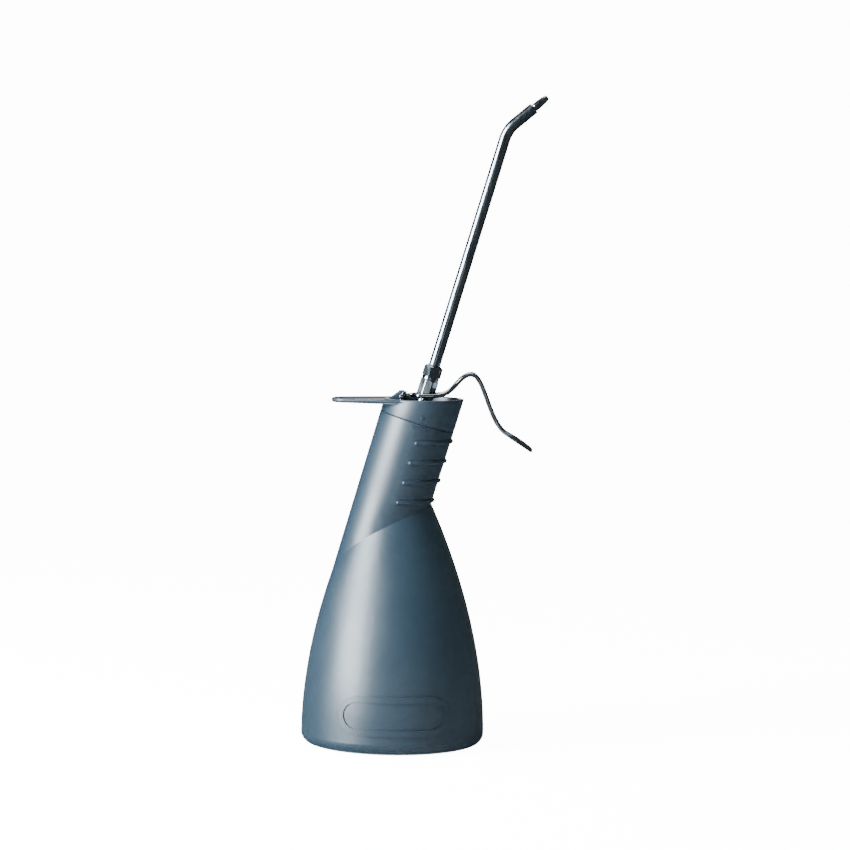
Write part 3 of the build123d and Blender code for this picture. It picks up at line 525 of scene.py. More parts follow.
def make_nuts():
    """Union nut that holds the spout, and the flat locknut on the pump barrel."""
    low, seam, shoulder, high, flats, chamfer = 9.5, 11.3, 16.6, 17.3, 4.25, 0.6
    thread, spout_hole, ferrule_bore = 3.22, 2.95, 3.55
    ferrule_low, ferrule_high, turn = 15.0, 16.35, math.radians(15.0)
    profile = [(thread, low), (4.0, low), (flats, low + 0.25), (flats, seam - 0.3), (4.1, seam - 0.02)]
    profile += flats_with_chamfer(flats, NUT_SIDES, seam, shoulder, chamfer)
    profile += [(4.05, high - 0.66), (3.3, high - 0.12), (3.1, high), (spout_hole, high),
                (spout_hole, ferrule_high), (ferrule_bore, ferrule_high), (ferrule_bore, ferrule_low),
                (thread, ferrule_low)]
    nut = turned(profile, pump_matrix(0.0, turn), NUT_SIDES, flats, seam, shoulder, 120)
    place_piece("union_nut_turned", [nut], "plunger", "dark_steel", ["union_nut"], 26.0)
    low, high, flats, barrel_thread, chamfer = -9.0, -6.6, 8.0, 6.52, 0.5
    profile = [(barrel_thread, low)] + flats_with_chamfer(flats, NUT_SIDES, low, high, chamfer, below=False)
    profile += [(6.8, high), (barrel_thread, high - 0.25)]
    nut = turned(profile, pump_matrix(), NUT_SIDES, flats, low, high, 120)
    place_piece("barrel_locknut_turned", [nut], "closure", "valve_brass", ["barrel_locknut"], 26.0)


# ---------------------------------------------------------------- lever
LEVER_LINE = [(1.2, 0.45), (6.0, 0.45), (12.0, 0.45), (18.3, 0.45), (22.4, 1.6), (26.2, 5.7),
              (29.9, 10.2), (34.5, 12.4), (38.6, 9.2), (42.4, -0.8), (46.1, -10.6), (50.6, -17.4),
              (57.6, -21.6), (64.9, -26.6)]
SLOT_START, SLOT_END, SLOT_HALF, SLOT_ROUNDNESS = 4.7, 19.1, 5.45, 3.6
LEVER_THICKNESS, EYE_HALF_WIDTH = 1.9, 3.1


def lever_half_width(x):
    """Half width of the lever at a distance from the pivot: eye, ring, strap, round pad."""
    half = EYE_HALF_WIDTH + 5.4 * smooth_step(x, 4.0, 8.2)
    half -= 4.0 * smooth_step(x, 15.5, 28.0)
    half += 3.0 * smooth_step(x, 46.5, 56.5)
    pad_middle, pad_radius = 57.7, 7.5
    if x > pad_middle:
        half = math.sqrt(max(pad_radius**2 - (x - pad_middle) ** 2, 1.0))
    return half


def lever_slot_half(x):
    """Half width of the slot round the pump head."""
    middle, reach = (SLOT_START + SLOT_END) / 2, (SLOT_END - SLOT_START) / 2
    share = min(abs(x - middle) / reach, 1.0)
    return SLOT_HALF * (1 - share**SLOT_ROUNDNESS) ** (1 / SLOT_ROUNDNESS)


def make_lever():
    """Pressed steel lever: a slotted ring, a crowned strap in a smooth S, a dished pad, and
    an eye rolled round the pivot pin."""
    line = spline(LEVER_LINE, 900)
    slot_stations = [(SLOT_START + SLOT_END) / 2 - (SLOT_END - SLOT_START) / 2 * math.cos(a)
                     for a in np.linspace(0, math.pi, 33)]
    before = np.linspace(LEVER_LINE[0][0], SLOT_START, 6)[:-1]
    after_line = line[line[:, 0] > SLOT_END]
    run = np.linspace(0, len(after_line) - 1, 76).astype(int)[1:]
    rows = []
    columns = 6
    crown_height, dish_depth = 0.55, 0.5
    stations = [(x, None) for x in [*before, *slot_stations]] + [(after_line[k][0], k) for k in run]
    slopes = np.gradient(line, axis=0)
    offset = len(line) - len(after_line)
    for x, index in stations:
        at = offset + index if index is not None else int(np.searchsorted(line[:offset, 0], x))
        at = min(at, len(line) - 1)
        height = line[at][1]
        if index is None:
            height = float(np.interp(x, line[:offset + 1, 0], line[:offset + 1, 1]))
        slope = Vector((slopes[at][0], 0.0, slopes[at][1])).normalized()
        normal = Vector((-slope.z, 0.0, slope.x))
        centre = PIVOT + Vector((x, 0.0, height)) * MM
        half, gap = lever_half_width(x), lever_slot_half(x)
        crown = crown_height * smooth_step(x, 19.0, 27.0) * (1 - smooth_step(x, 47.0, 54.0))
        dish = dish_depth * smooth_step(x, 50.0, 57.0)
        row = []
        for side in (-1, 1):
            shares = np.linspace(1, 0, columns) if side < 0 else np.linspace(0, 1, columns)
            for share in shares:
                y = gap + (half - gap) * share
                lift = (dish - crown) * (y / half) ** 2
                row.append(centre + SIDE_DIR * (side * y * MM) + normal * (lift * MM))
        rows.append(row)
    left = grid([row[:columns] for row in rows])
    right = grid([row[columns:] for row in rows])
    sheet = bpy.data.meshes.new("lever_sheet")
    count = len(left[0])
    sheet.from_pydata([tuple(v) for v in left[0] + right[0]], [],
                      left[1] + [tuple(k + count for k in face) for face in right[1]])
    merged(sheet)
    solid = settled(sheet,
                    ("SOLIDIFY", {"thickness": LEVER_THICKNESS * MM, "offset": 0.0}),
                    ("BEVEL", {"width": 0.5 * MM, "segments": 3, "limit_method": "ANGLE",
                               "angle_limit": math.radians(50), "use_clamp_overlap": False}))
    spin = Matrix(((1, 0, 0), (0, 0, 1), (0, -1, 0))).to_4x4()
    hole, rolled = 1.25, 2.2
    section = soften([(hole, -EYE_HALF_WIDTH, 0), (rolled, -EYE_HALF_WIDTH, 0.3),
                      (rolled, EYE_HALF_WIDTH, 0.3), (hole, EYE_HALF_WIDTH, 0)], 4)
    verts, faces = turned(section, Matrix.Translation(PIVOT) @ spin, columns=56)
    work = bmesh.new()
    work.from_mesh(solid)
    points = [work.verts.new(v) for v in verts]
    eye_faces = [work.faces.new([points[k] for k in face]) for face in faces]
    bmesh.ops.recalc_face_normals(work, faces=eye_faces)
    work.to_mesh(solid)
    work.free()
    dress("squeeze_lever", solid, "trigger", "lever_steel", ["lever"], 40.0)


# ---------------------------------------------------------------- closure
RIM_RADIUS, POCKET_RADIUS, DECK_LEVEL, PARTING_LEVEL = 19.05, 17.0, -9.0, -11.6
TONGUE_REACH, TONGUE_TIP, TONGUE_THICKNESS, TONGUE_DISH = 46.0, 8.4, 2.3, 0.9


def closure_wall():
    """Plug, deck and wall in one turned shape whose rim is cut level with the floor."""
    rim_edge, floor_edge, columns = 0.55, 0.8, 144
    barrel_hole, plug_bore, plug_radius, plug_end = 6.55, 15.0, 17.0, -20.0
    groove_radius, groove_low, groove_high = 15.95, -17.1, -15.35
    quarter = [math.pi / 2 * k / 5 for k in range(6)]
    below = [(barrel_hole, PARTING_LEVEL), (plug_bore - 0.4, PARTING_LEVEL),
             (plug_bore, PARTING_LEVEL - 0.4), (plug_bore, plug_end + 0.3),
             (plug_bore + 0.3, plug_end), (plug_radius - 0.4, plug_end),
             (plug_radius, plug_end + 0.4), (plug_radius, groove_low), (groove_radius, groove_low),
             (groove_radius, groove_high), (plug_radius, groove_high), (plug_radius, PARTING_LEVEL),
             (RIM_RADIUS - 0.4, PARTING_LEVEL), (RIM_RADIUS - 0.1, PARTING_LEVEL + 0.1),
             (RIM_RADIUS, PARTING_LEVEL + 0.45)]
    rim = [(RIM_RADIUS - rim_edge * (1 - math.cos(a)), rim_edge * (1 - math.sin(a))) for a in quarter]
    rim += [(POCKET_RADIUS + rim_edge * (1 - math.sin(a)), rim_edge * (1 - math.cos(a))) for a in quarter]
    pocket = [(POCKET_RADIUS - floor_edge * (1 - math.cos(a)), DECK_LEVEL + floor_edge * (1 - math.sin(a)))
              for a in quarter]
    pocket += [(barrel_hole, DECK_LEVEL)]
    rows = []
    for k in range(columns):
        angle = 2 * math.pi * k / columns
        row = list(below)
        row += [(r, r * math.cos(angle) * math.tan(LEAN) - d / math.cos(LEAN)) for r, d in rim]
        row += pocket
        rows.append([pump_matrix() @ (Vector((r * math.cos(angle), r * math.sin(angle), level)) * MM)
                     for r, level in row])
    return grid(rows, wrap_rows=True, wrap_columns=True)


def closure_tongue():
    """Thumb tongue: round-edged plate with a bordered dish, ending inside the closure's wall."""
    middle_x = PUMP_ORIGIN.x / MM
    tip_x = middle_x - TONGUE_REACH + TONGUE_TIP
    slant = math.asin((RIM_RADIUS - TONGUE_TIP) / (middle_x - tip_x))
    wall_radius, edge = 18.2, 0.85
    full = math.sqrt((middle_x - tip_x) ** 2 - (RIM_RADIUS - TONGUE_TIP) ** 2)
    low = -TONGUE_THICKNESS

    def wall_x(y):
        return middle_x - math.sqrt(max(wall_radius**2 - y * y, 0.0)) / math.cos(LEAN)

    rows = [(1.2, f, low) for f in (1.0, 0.75, 0.5, 0.25)]
    for k in range(7):
        angle = -math.pi / 2 + math.pi * k / 6
        rows.append((edge * (1 - math.cos(angle)), 0.0, low / 2 + (-low / 2) * math.sin(angle)))
    rows += [(1.35, 0.0, 0.0), (1.6, 0.0, -0.08), (1.85, 0.0, -0.45), (2.1, 0.0, -0.8),
             (2.4, 0.0, -TONGUE_DISH)]
    rows += [(2.4, f, -TONGUE_DISH) for f in (0.25, 0.5, 0.75, 1.0)]
    straight, arc = 26, 22
    half_rows = []
    for inset, inward, z in rows:
        radius = TONGUE_TIP - inset
        tangent = np.array((tip_x - radius * math.sin(slant), -radius * math.cos(slant)))
        along = np.array((math.cos(slant), -math.sin(slant)))
        reach = full
        for step in np.linspace(0, full, 240):
            x, y = tangent + along * step
            if x > wall_x(y) and abs(y) < wall_radius:
                reach = step
                break
        start = tangent + along * reach
        start_y = start[1] * (1 - inward)
        start = np.array((wall_x(start_y) if abs(start_y) < wall_radius else start[0], start_y))
        stop = tangent * (1 - inward) + np.array((tip_x, 0.0)) * inward
        line = [start + (stop - start) * k / straight for k in range(straight)]
        for k in range(arc + 1):
            angle = -math.pi / 2 - slant - (math.pi / 2 - slant) * k / arc
            rim_point = np.array((tip_x + radius * math.cos(angle), radius * math.sin(angle)))
            line.append(rim_point * (1 - inward) + np.array((tip_x, 0.0)) * inward)
        half_rows.append([(x, y, z) for x, y in line])
    loops = []
    for k in range(straight + arc + 1):
        near = [row[k] for row in half_rows]
        far = [(x, -y, z) for x, y, z in reversed(near[1:-1])]
        loops.append([Vector((x * MM, y * MM, RIM_HEIGHT + z * MM)) for x, y, z in near + far])
    verts, faces = grid(loops, wrap_columns=True)
    faces.append(tuple(range(len(loops[0]))))
    return verts, faces


def prism(outline, low, high, place):
    """Closed prism of an outline between two depths, with both ends drawn in a little."""
    middle = np.mean(outline, axis=0)
    edge, knee = 0.3, 0.09
    rows = []
    for depth, inset in ((low, edge), (low + knee, knee), (low + edge, 0.0),
                         (high - edge, 0.0), (high - knee, knee), (high, edge)):
        row = []
        for point in outline:
            away = np.array(point) - middle
            pulled = np.array(point) - away / max(np.linalg.norm(away), 1e-6) * inset
            row.append(place @ (Vector((pulled[0], pulled[1], depth)) * MM))
        rows.append(row)
    verts, faces = grid(rows, wrap_columns=True)
    wide = len(outline)
    faces.append(tuple(range(wide)))
    faces.append(tuple(range(len(verts) - wide, len(verts))))
    return verts, faces


def closure_lug(side):
    """One lug beside the lever's eye: a fin that rises from the rim to a round head."""
    head_radius, inner, outer = 2.6, 3.2, 5.4
    head = [(head_radius * math.cos(a), head_radius * math.sin(a))
            for a in np.linspace(math.radians(138), math.radians(-12), 16)]
    fin = [(-7.6, -3.2), (-7.3, -1.7), (-5.6, -0.9), (-4.1, 0.2), (-2.9, 1.2)]
    foot = [(1.6, -4.5), (0.0, -6.8), (-7.4, -5.4)]
    outline = [np.array(p) for p in fin + head + foot]
    low, high = (inner, outer) if side < 0 else (-outer, -inner)
    return prism(outline, low, high, Matrix.Translation(PIVOT) @ TO_BADGE_SIDE)


def closure_arrow():
    """Plain raised arrow on the closure over the reservoir's index bar."""
    angle = math.radians(-85.0)
    outward = CROSS_DIR * math.cos(angle) + SIDE_DIR * math.sin(angle)
    across = PUMP_DIR.cross(outward)
    spin = Matrix((across, outward.cross(across), outward)).transposed().to_4x4()
    origin = PUMP_ORIGIN + PUMP_DIR * ((PARTING_LEVEL + 1.6) * MM) + outward * ((RIM_RADIUS - 0.8) * MM)
    outline = soften([(0.0, 0.0, 0.2), (1.5, 2.4, 0.3), (-1.5, 2.4, 0.3)], 3)
    return prism(outline, 0.0, 1.1, Matrix.Translation(origin) @ spin)


def make_closure():
    """Moulded closure with its plug, thumb tongue, lever lugs and arrow."""
    shells = [closure_wall(), closure_tongue(), closure_lug(-1), closure_lug(1), closure_arrow()]
    place_piece("closure_moulding", shells, "closure", "slate_plastic", ["cap"], 38.0)


# ---------------------------------------------------------------- pivot and split pin
def make_pivot():
    """Headed pivot pin with a round nose, and the split pin that holds it."""
    place = Matrix.Translation(PIVOT) @ TO_BADGE_SIDE
    head_radius, head_top, head_seat = 2.1, -6.65, -5.45
    shank_radius, nose = 1.2, 7.7
    profile = soften([(0.0, head_top, 0), (head_radius, head_top, 0.5), (head_radius, head_seat, 0.15),
                      (shank_radius, head_seat, 0.1), (shank_radius, nose, 0.4), (0.0, nose, 0)], 5)
    place_piece("pivot_pin_turned", [turned(profile, place, columns=48)], "closure", "dark_steel",
                ["pivot_pin"])
    low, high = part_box("split_pin")
    depth = (low.y + high.y) / 2
    wire, eye_radius, gap = 0.26 * MM, 0.8 * MM, 0.23
    shells = []
    for side, tip in ((-1, (-1.6, 3.3)), (1, (2.8, 2.75))):
        route = [(gap * side, -1.7), (gap * side, -0.4), (gap * side, 1.4), (0.4 * side, 2.0),
                 (tip[0] * 0.55, tip[1] - 0.55), tip]
        points = spline(route, 22)
        slopes = np.gradient(points, axis=0)
        stations = []
        for (x, z), (dx, dz) in zip(points, slopes):
            centre = Vector((PIVOT.x + x * MM, depth, PIVOT.z + z * MM))
            stations.append((centre, Vector((dx, 0.0, dz)).normalized(), wire))
        first, last = stations[0], stations[-1]
        stations = [(first[0], first[1], 0.0), *stations, (last[0] + last[1] * wire * 0.5, last[1], 0.0)]
        shells.append(tube(stations, 14))
    eye_middle = Vector((PIVOT.x, depth, PIVOT.z - 2.2 * MM))
    stations = []
    for k in range(24):
        angle = 2 * math.pi * k / 24
        out = Vector((math.cos(angle), 0.0, math.sin(angle)))
        along = Vector((-math.sin(angle), 0.0, math.cos(angle)))
        stations.append((eye_middle + out * eye_radius, along, wire))
    shells.append(tube(stations, 14, closed=True))
    place_piece("split_pin_wire", shells, "closure", "dark_steel", ["split_pin"])


# ---------------------------------------------------------------- node trees
class Tree:
    """Geometry node tree with named inputs, ending in Realize Instances and Set Material."""

    def __init__(self, name, inputs):
        self.tree = bpy.data.node_groups.new(name, "GeometryNodeTree")
        self.tree.is_modifier = True
        self.sockets = {}
        for label, kind in inputs + [("Finish", "NodeSocketMaterial")]:
            socket = self.tree.interface.new_socket(label, in_out="INPUT", socket_type=kind)
            self.sockets[label] = socket.identifier
        self.tree.interface.new_socket("Geometry", in_out="OUTPUT", socket_type="NodeSocketGeometry")
        self.inputs = self.node("NodeGroupInput").outputs

    def node(self, kind, links=(), **settings):
        """Node of a kind, with its inputs joined to outputs or given values."""
        made = self.tree.nodes.new(kind)
        for key, value in settings.items():
            setattr(made, key, value)
        for key, source in dict(links).items():
            if isinstance(source, bpy.types.NodeSocket):
                self.tree.links.new(source, made.inputs[key])
            else:
                made.inputs[key].default_value = source
        return made

    def math(self, operation, a, b):
        """Output of an arithmetic operation on two values or sockets."""
        return self.node("ShaderNodeMath", {0: a, 1: b}, operation=operation).outputs[0]

    def join(self, *sources):
        """Several geometries as one."""
        made = self.node("GeometryNodeJoinGeometry")
        for source in sources:
            self.tree.links.new(source, made.inputs[0])
        return made.outputs[0]

    def finish(self, geometry):
        """Close the tree on a geometry."""
        realized = self.node("GeometryNodeRealizeInstances", {"Geometry": geometry})
        coated = self.node("GeometryNodeSetMaterial",
                           {"Geometry": realized.outputs[0], "Material": self.inputs["Finish"]})
        self.node("NodeGroupOutput", {"Geometry": coated.outputs[0]})

    def mesh(self, values, finish, place):
        """Plain placed mesh of the tree for a set of input values."""
        holder = linked("holder", bpy.data.meshes.new("seed"))
        modifier = holder.modifiers.new("shape", "NODES")
        modifier.node_group = self.tree
        for label, value in {**values, "Finish": finish}.items():
            modifier[self.sockets[label]] = value
        mesh = plain_mesh(holder)
        mesh.transform(place)
        return merged(mesh)


def coil_tree():
    """Wound compression spring with a flat ring at each end, standing on its origin."""
    tree = Tree("wound_spring", [("Radius", "NodeSocketFloat"), ("Wire", "NodeSocketFloat"),
                                 ("Height", "NodeSocketFloat"), ("Turns", "NodeSocketFloat")])
    radius = tree.math("SUBTRACT", tree.inputs["Radius"], tree.inputs["Wire"])
    rise = tree.math("SUBTRACT", tree.inputs["Height"], tree.math("MULTIPLY", tree.inputs["Wire"], 2.0))
    helix = tree.node("GeometryNodeCurveSpiral", {
        "Resolution": 28, "Rotations": tree.inputs["Turns"], "Start Radius": radius,
        "End Radius": radius, "Height": rise})
    end = tree.node("GeometryNodeCurvePrimitiveCircle", {"Resolution": 40, "Radius": radius})
    lifted = tree.node("GeometryNodeTransform", {
        "Geometry": end.outputs[0],
        "Translation": tree.node("ShaderNodeCombineXYZ", {"Z": rise}).outputs[0]})
    wire = tree.node("GeometryNodeCurvePrimitiveCircle", {"Resolution": 12, "Radius": tree.inputs["Wire"]})
    line = tree.join(helix.outputs[0], end.outputs[0], lifted.outputs[0])
    coil = tree.node("GeometryNodeCurveToMesh", {
        "Curve": line, "Profile Curve": wire.outputs[0], "Fill Caps": True})
    raised = tree.node("GeometryNodeTransform", {
        "Geometry": coil.outputs[0],
        "Translation": tree.node("ShaderNodeCombineXYZ", {"Z": tree.inputs["Wire"]}).outputs[0]})
    tree.finish(raised.outputs[0])
    return tree


def make_springs():
    """Return spring under the piston and delivery spring over the outlet ball."""
    coil = coil_tree()
    finish = MATERIALS["spring_steel"]
    low, high, wire = -41.08, -23.14, 0.55
    mesh = coil.mesh({"Radius": 5.2 * MM, "Wire": wire * MM, "Height": (high - low) * MM, "Turns": 6.5},
                     finish, pump_matrix(low * MM))
    spring = dress("return_spring_coil", mesh, "closure", "spring_steel", ["return_spring"], 60.0)
    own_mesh(spring)
    low, high, wire = 7.6, 13.78, 0.24
    mesh = coil.mesh({"Radius": 1.88 * MM, "Wire": wire * MM, "Height": (high - low) * MM, "Turns": 7.0},
                     finish, pump_matrix(low * MM))
    spring = dress("delivery_spring_coil", mesh, "plunger", "spring_steel", ["delivery_spring"], 60.0)
    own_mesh(spring)


def basket_tree():
    """Round basket of upright staves and rings, standing on its origin."""
    tree = Tree("strainer_basket", [("Radius", "NodeSocketFloat"), ("Height", "NodeSocketFloat"),
                                    ("Wire", "NodeSocketFloat"), ("Staves", "NodeSocketInt"),
                                    ("Rings", "NodeSocketInt")])
    wire = tree.node("GeometryNodeCurvePrimitiveCircle", {"Resolution": 6, "Radius": tree.inputs["Wire"]})
    half = tree.math("MULTIPLY", tree.inputs["Height"], 0.5)
    stave = tree.node("GeometryNodeMeshCylinder", {
        "Vertices": 6, "Radius": tree.inputs["Wire"], "Depth": tree.inputs["Height"]})
    feet = tree.node("GeometryNodeMeshCircle", {
        "Vertices": tree.inputs["Staves"], "Radius": tree.inputs["Radius"]})
    staves = tree.node("GeometryNodeInstanceOnPoints", {
        "Points": feet.outputs[0], "Instance": stave.outputs[0]})
    stood = tree.node("GeometryNodeTransform", {
        "Geometry": staves.outputs[0],
        "Translation": tree.node("ShaderNodeCombineXYZ", {"Z": half}).outputs[0]})
    loop = tree.node("GeometryNodeCurvePrimitiveCircle", {
        "Resolution": 36, "Radius": tree.inputs["Radius"]})
    ring = tree.node("GeometryNodeCurveToMesh", {
        "Curve": loop.outputs[0], "Profile Curve": wire.outputs[0]})
    gap = tree.math("DIVIDE", tree.inputs["Height"], tree.inputs["Rings"])
    ladder = tree.node("GeometryNodeMeshLine", {
        "Count": tree.inputs["Rings"],
        "Offset": tree.node("ShaderNodeCombineXYZ", {"Z": gap}).outputs[0]})
    rings = tree.node("GeometryNodeInstanceOnPoints", {
        "Points": ladder.outputs[0], "Instance": ring.outputs[0]})
    tree.finish(tree.join(stood.outputs[0], rings.outputs[0]))
    return tree


def make_strainer():
    """Strainer on the suction tube: end cup, wire basket and sleeve."""
    bottom, cup, sleeve, top = -169.0, -167.4, -162.5, -155.5
    outer, inner, tube_hole, lip = 4.0, 3.2, 2.52, 3.4
    basket = basket_tree().mesh({"Radius": 3.6 * MM, "Height": (sleeve - cup) * MM, "Wire": 0.17 * MM,
                                 "Staves": 22, "Rings": 8}, MATERIALS["valve_brass"],
                                pump_matrix(cup * MM))
    dress("strainer_wires", basket, "closure", "valve_brass", (), 50.0)
    end_cup = soften([(0.0, bottom, 0), (outer, bottom, 0.5), (outer, cup, 0.15), (inner, cup, 0.15),
                      (inner, bottom + 0.7, 0.2), (0.0, bottom + 0.7, 0)], 4)
    collar = soften([(tube_hole, sleeve - 0.7, 0.1), (outer, sleeve - 0.7, 0.2), (outer, sleeve + 0.3, 0.3),
                     (3.22, sleeve + 0.9, 0.3), (3.22, top - 1.0, 0.1), (lip, top - 0.6, 0.15),
                     (lip, top, 0.2), (tube_hole, top, 0.1)], 4)
    place_piece("strainer_fittings", [turned(end_cup, pump_matrix(), columns=48),
                                      turned(collar, pump_matrix(), columns=48)],
                "closure", "valve_brass", ["strainer"])


# ---------------------------------------------------------------- operators
class OILCAN_OT_finishes(bpy.types.Operator):
    """Make the materials and put them on the CAD nodes"""

    bl_idname = "oilcan.finishes"
    bl_label = "Finishes"

    def execute(self, context):
        make_materials()
        slots = {row["node"]: row["material_slot"] for row in frame["record"]["subparts"]}
        for node, obj in frame["nodes"].items():
            obj.data.materials.clear()
            obj.data.materials.append(MATERIALS[slots[node]])
        return {"FINISHED"}


class OILCAN_OT_spout(bpy.types.Operator):
    """Make the spout tube and its nozzle"""

    bl_idname = "oilcan.spout"
    bl_label = "Spout"

    def execute(self, context):
        make_spout()
        return {"FINISHED"}


class OILCAN_OT_pump_head(bpy.types.Operator):
    """Make the pump head and its thrust pins"""

    bl_idname = "oilcan.pump_head"
    bl_label = "Pump head"

    def execute(self, context):
        make_pump_head()
        return {"FINISHED"}


class OILCAN_OT_nuts(bpy.types.Operator):
    """Make the union nut and the barrel's locknut"""

    bl_idname = "oilcan.nuts"
    bl_label = "Nuts"

    def execute(self, context):
        make_nuts()
        return {"FINISHED"}


class OILCAN_OT_lever(bpy.types.Operator):
    """Make the squeeze lever"""

    bl_idname = "oilcan.lever"
    bl_label = "Lever"

    def execute(self, context):
        make_lever()
        return {"FINISHED"}


class OILCAN_OT_closure(bpy.types.Operator):
    """Make the moulded closure with its tongue and lugs"""

    bl_idname = "oilcan.closure"
    bl_label = "Closure"

    def execute(self, context):
        make_closure()
        return {"FINISHED"}


class OILCAN_OT_pivot(bpy.types.Operator):
    """Make the pivot pin and its split pin"""

    bl_idname = "oilcan.pivot"
    bl_label = "Pivot"

    def execute(self, context):
        make_pivot()
        return {"FINISHED"}


class OILCAN_OT_springs(bpy.types.Operator):
    """Make the return and delivery springs"""

    bl_idname = "oilcan.springs"
    bl_label = "Springs"

    def execute(self, context):
        make_springs()
        return {"FINISHED"}


class OILCAN_OT_strainer(bpy.types.Operator):
    """Make the strainer on the suction tube"""

    bl_idname = "oilcan.strainer"
    bl_label = "Strainer"

    def execute(self, context):
        make_strainer()
        return {"FINISHED"}


class OILCAN_OT_stage(bpy.types.Operator):
    """Make the floor, the studio lights and the camera"""

    bl_idname = "oilcan.stage"
    bl_label = "Stage"

    def execute(self, context):
        studio = context.scene.oil_can_studio
        make_floor()
        make_flags()
        make_lights(studio)
        make_camera(studio)
        return {"FINISHED"}


# ---------------------------------------------------------------- stage
# The paper's own light, as the camera sees it and as it falls on the can and in its gloss.
PAPER_GLOW_SEEN = 13.0
PAPER_GLOW_ON_OBJECT = 1.6


def make_floor():
    """Pale floor that curves up into a backdrop far behind."""
    half_width, near, far, bend, top = 6.0, -4.0, 5.0, 2.0, 6.0
    profile = [(near, 0.0), (far - bend, 0.0)]
    profile += [(far - bend + bend * math.sin(a), bend - bend * math.cos(a))
                for a in np.linspace(0.1, math.pi / 2, 12)]
    profile.append((far, top))
    mesh = bpy.data.meshes.new("studio_floor")
    verts = [(x, y, z) for y, z in profile for x in (-half_width, half_width)]
    faces = [(2 * i, 2 * i + 1, 2 * i + 3, 2 * i + 2) for i in range(len(profile) - 1)]
    mesh.from_pydata(verts, [], faces)
    mesh.shade_smooth()
    floor = linked("studio_floor", mesh)
    material, nodes, links = new_material("studio_paper")
    shader = nodes["Principled BSDF"]
    shader.inputs["Base Color"].default_value = (0.93, 0.93, 0.93, 1.0)
    shader.inputs["Roughness"].default_value = 0.9
    shader.inputs["Emission Color"].default_value = (1.0, 1.0, 1.0, 1.0)
    rays = nodes.new("ShaderNodeLightPath")
    glow = nodes.new("ShaderNodeMapRange")
    glow.inputs["To Min"].default_value = PAPER_GLOW_ON_OBJECT
    glow.inputs["To Max"].default_value = PAPER_GLOW_SEEN
    links.new(rays.outputs["Is Camera Ray"], glow.inputs["Value"])
    links.new(glow.outputs["Result"], shader.inputs["Emission Strength"])
    mesh.materials.append(material)


def black_flag(name, middle, along, upward, soft=True):
    """Black card that the gloss mirrors, as a studio's flags do, and that bounced light meets
    too where asked. The camera and the lamps pass it."""
    middle, along, upward = Vector(middle), Vector(along), Vector(upward)
    mesh = bpy.data.meshes.new(name)
    corners = [middle + along * a + upward * b for a, b in ((-1, -1), (1, -1), (1, 1), (-1, 1))]
    mesh.from_pydata([tuple(c) for c in corners], [], [(0, 1, 2, 3)])
    flag = linked(name, mesh)
    material, nodes, _ = new_material("flag_cloth")
    nodes["Principled BSDF"].inputs["Base Color"].default_value = (0.004, 0.004, 0.004, 1.0)
    nodes["Principled BSDF"].inputs["Roughness"].default_value = 1.0
    mesh.materials.append(material)
    flag.visible_camera = False
    flag.visible_diffuse = soft
    flag.visible_shadow = False
    flag.visible_transmission = False


def make_flags():
    """Flags at the right, behind at both sides, in front at the right, and on the floor."""
    black_flag("flag_right", (0.50, -0.35, 0.50), (0.0, 1.35, 0.0), (0.0, 0.0, 0.5))
    black_flag("flag_right_back", (0.36, 0.80, 0.50), (0.30, -0.20, 0.0), (0.0, 0.0, 0.5))
    black_flag("flag_left_back", (-0.42, 0.75, 0.50), (0.12, 0.65, 0.0), (0.0, 0.0, 0.5))
    black_flag("flag_front", (0.52, -1.66, 0.60), (0.40, 0.0, 0.0), (0.0, 0.0, 0.6))
    black_flag("flag_floor", (0.0, 0.0, 0.001), (1.7, 0.0, 0.0), (0.0, 1.7, 0.0), soft=False)


def area_light(name, position, target, size, power, colour=(1, 1, 1), size_y=None):
    """Rectangular soft light aimed at a point."""
    data = bpy.data.lights.new(name, "AREA")
    data.shape = "RECTANGLE"
    data.size = size
    data.size_y = size_y or size
    data.energy = power
    data.color = colour
    lamp = linked(name, data)
    lamp.location = position
    lamp.rotation_euler = (Vector(target) - Vector(position)).to_track_quat("-Z", "Y").to_euler()


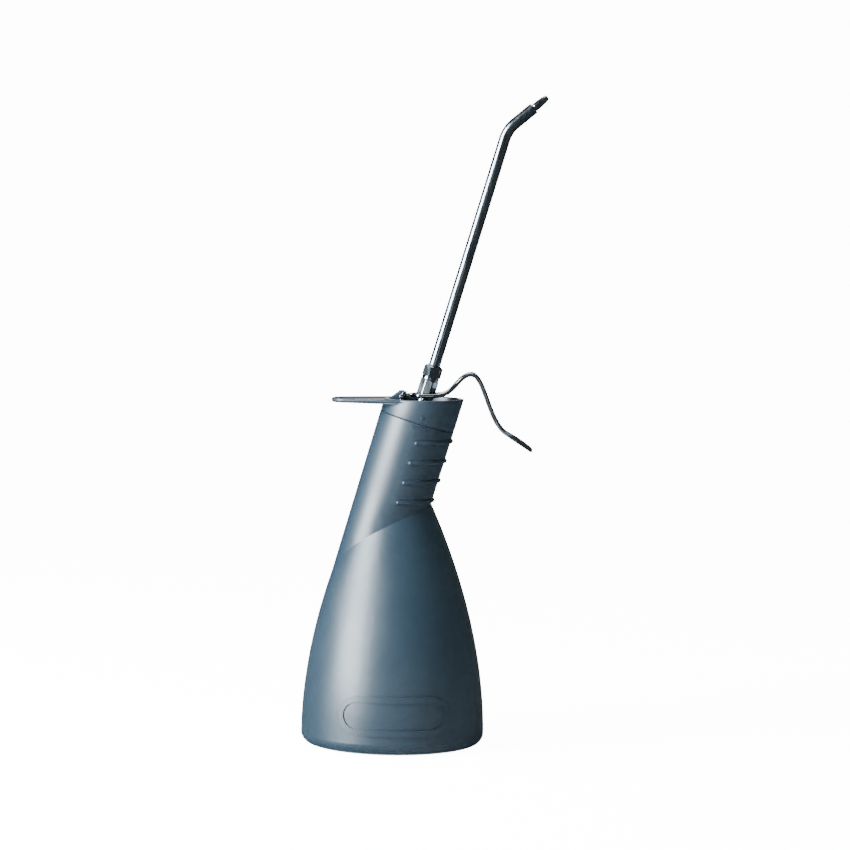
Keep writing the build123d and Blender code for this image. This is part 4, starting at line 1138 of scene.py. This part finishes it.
def make_lights(studio):
    """Large window-like light on the left, a weak one above, and a dim world."""
    middle = (0.0, 0.0, 0.16)
    area_light("key_left", (-0.92, -0.52, 0.50), middle, size=0.62, power=studio.key_power,
               colour=(0.84, 0.94, 1.0), size_y=0.95)
    area_light("top_soft", (0.0, 0.1, 1.3), middle, size=0.9, power=9.0)
    world = bpy.data.worlds.new("studio_world")
    bpy.context.scene.world = world
    world.use_nodes = True
    background = world.node_tree.nodes["Background"]
    background.inputs["Color"].default_value = (0.95, 0.97, 1.0, 1.0)
    background.inputs["Strength"].default_value = 0.08


def make_camera(studio):
    """Camera straight in front of the can, a little above the closure."""
    aim = Vector((0.0140, 0.0, 0.15906))
    place = Vector((aim.x, -studio.distance, studio.height))
    data = bpy.data.cameras.new("camera")
    data.lens = studio.lens
    data.sensor_width = 36.0
    data.clip_end = 50.0
    camera = linked("camera", data)
    look = (aim - place).to_track_quat("-Z", "Y").to_matrix().to_4x4()
    camera.matrix_world = Matrix.Translation(place) @ look @ Matrix.Rotation(studio.roll, 4, "Z")
    bpy.context.scene.camera = camera


class OILCAN_PT_panel(bpy.types.Panel):
    """Lists the oil can's operators"""

    bl_idname = "OILCAN_PT_panel"
    bl_label = "Oil Can"
    bl_space_type = "VIEW_3D"
    bl_region_type = "UI"
    bl_category = "Oil Can"

    def draw(self, context):
        column = self.layout.column()
        for operator in OPERATORS:
            column.operator(operator.bl_idname)


OPERATORS = [
    OILCAN_OT_finishes, OILCAN_OT_spout, OILCAN_OT_pump_head, OILCAN_OT_nuts, OILCAN_OT_lever,
    OILCAN_OT_closure, OILCAN_OT_pivot, OILCAN_OT_springs, OILCAN_OT_strainer, OILCAN_OT_stage,
]
GROUPS = {"oil_can_finish": OilCanFinish, "oil_can_studio": OilCanStudio}


def register():
    for group in GROUPS.values():
        bpy.utils.register_class(group)
    for name, group in GROUPS.items():
        setattr(bpy.types.Scene, name, PointerProperty(type=group))
    for cls in [*OPERATORS, OILCAN_PT_panel]:
        bpy.utils.register_class(cls)


def unregister():
    for cls in reversed([*OPERATORS, OILCAN_PT_panel]):
        bpy.utils.unregister_class(cls)
    for name in GROUPS:
        delattr(bpy.types.Scene, name)
    for group in reversed(list(GROUPS.values())):
        bpy.utils.unregister_class(group)


def main():
    register()
    for operator in OPERATORS:
        category, name = operator.bl_idname.split(".")
        getattr(getattr(bpy.ops, category), name)()


if __name__ == "__main__":
    main()
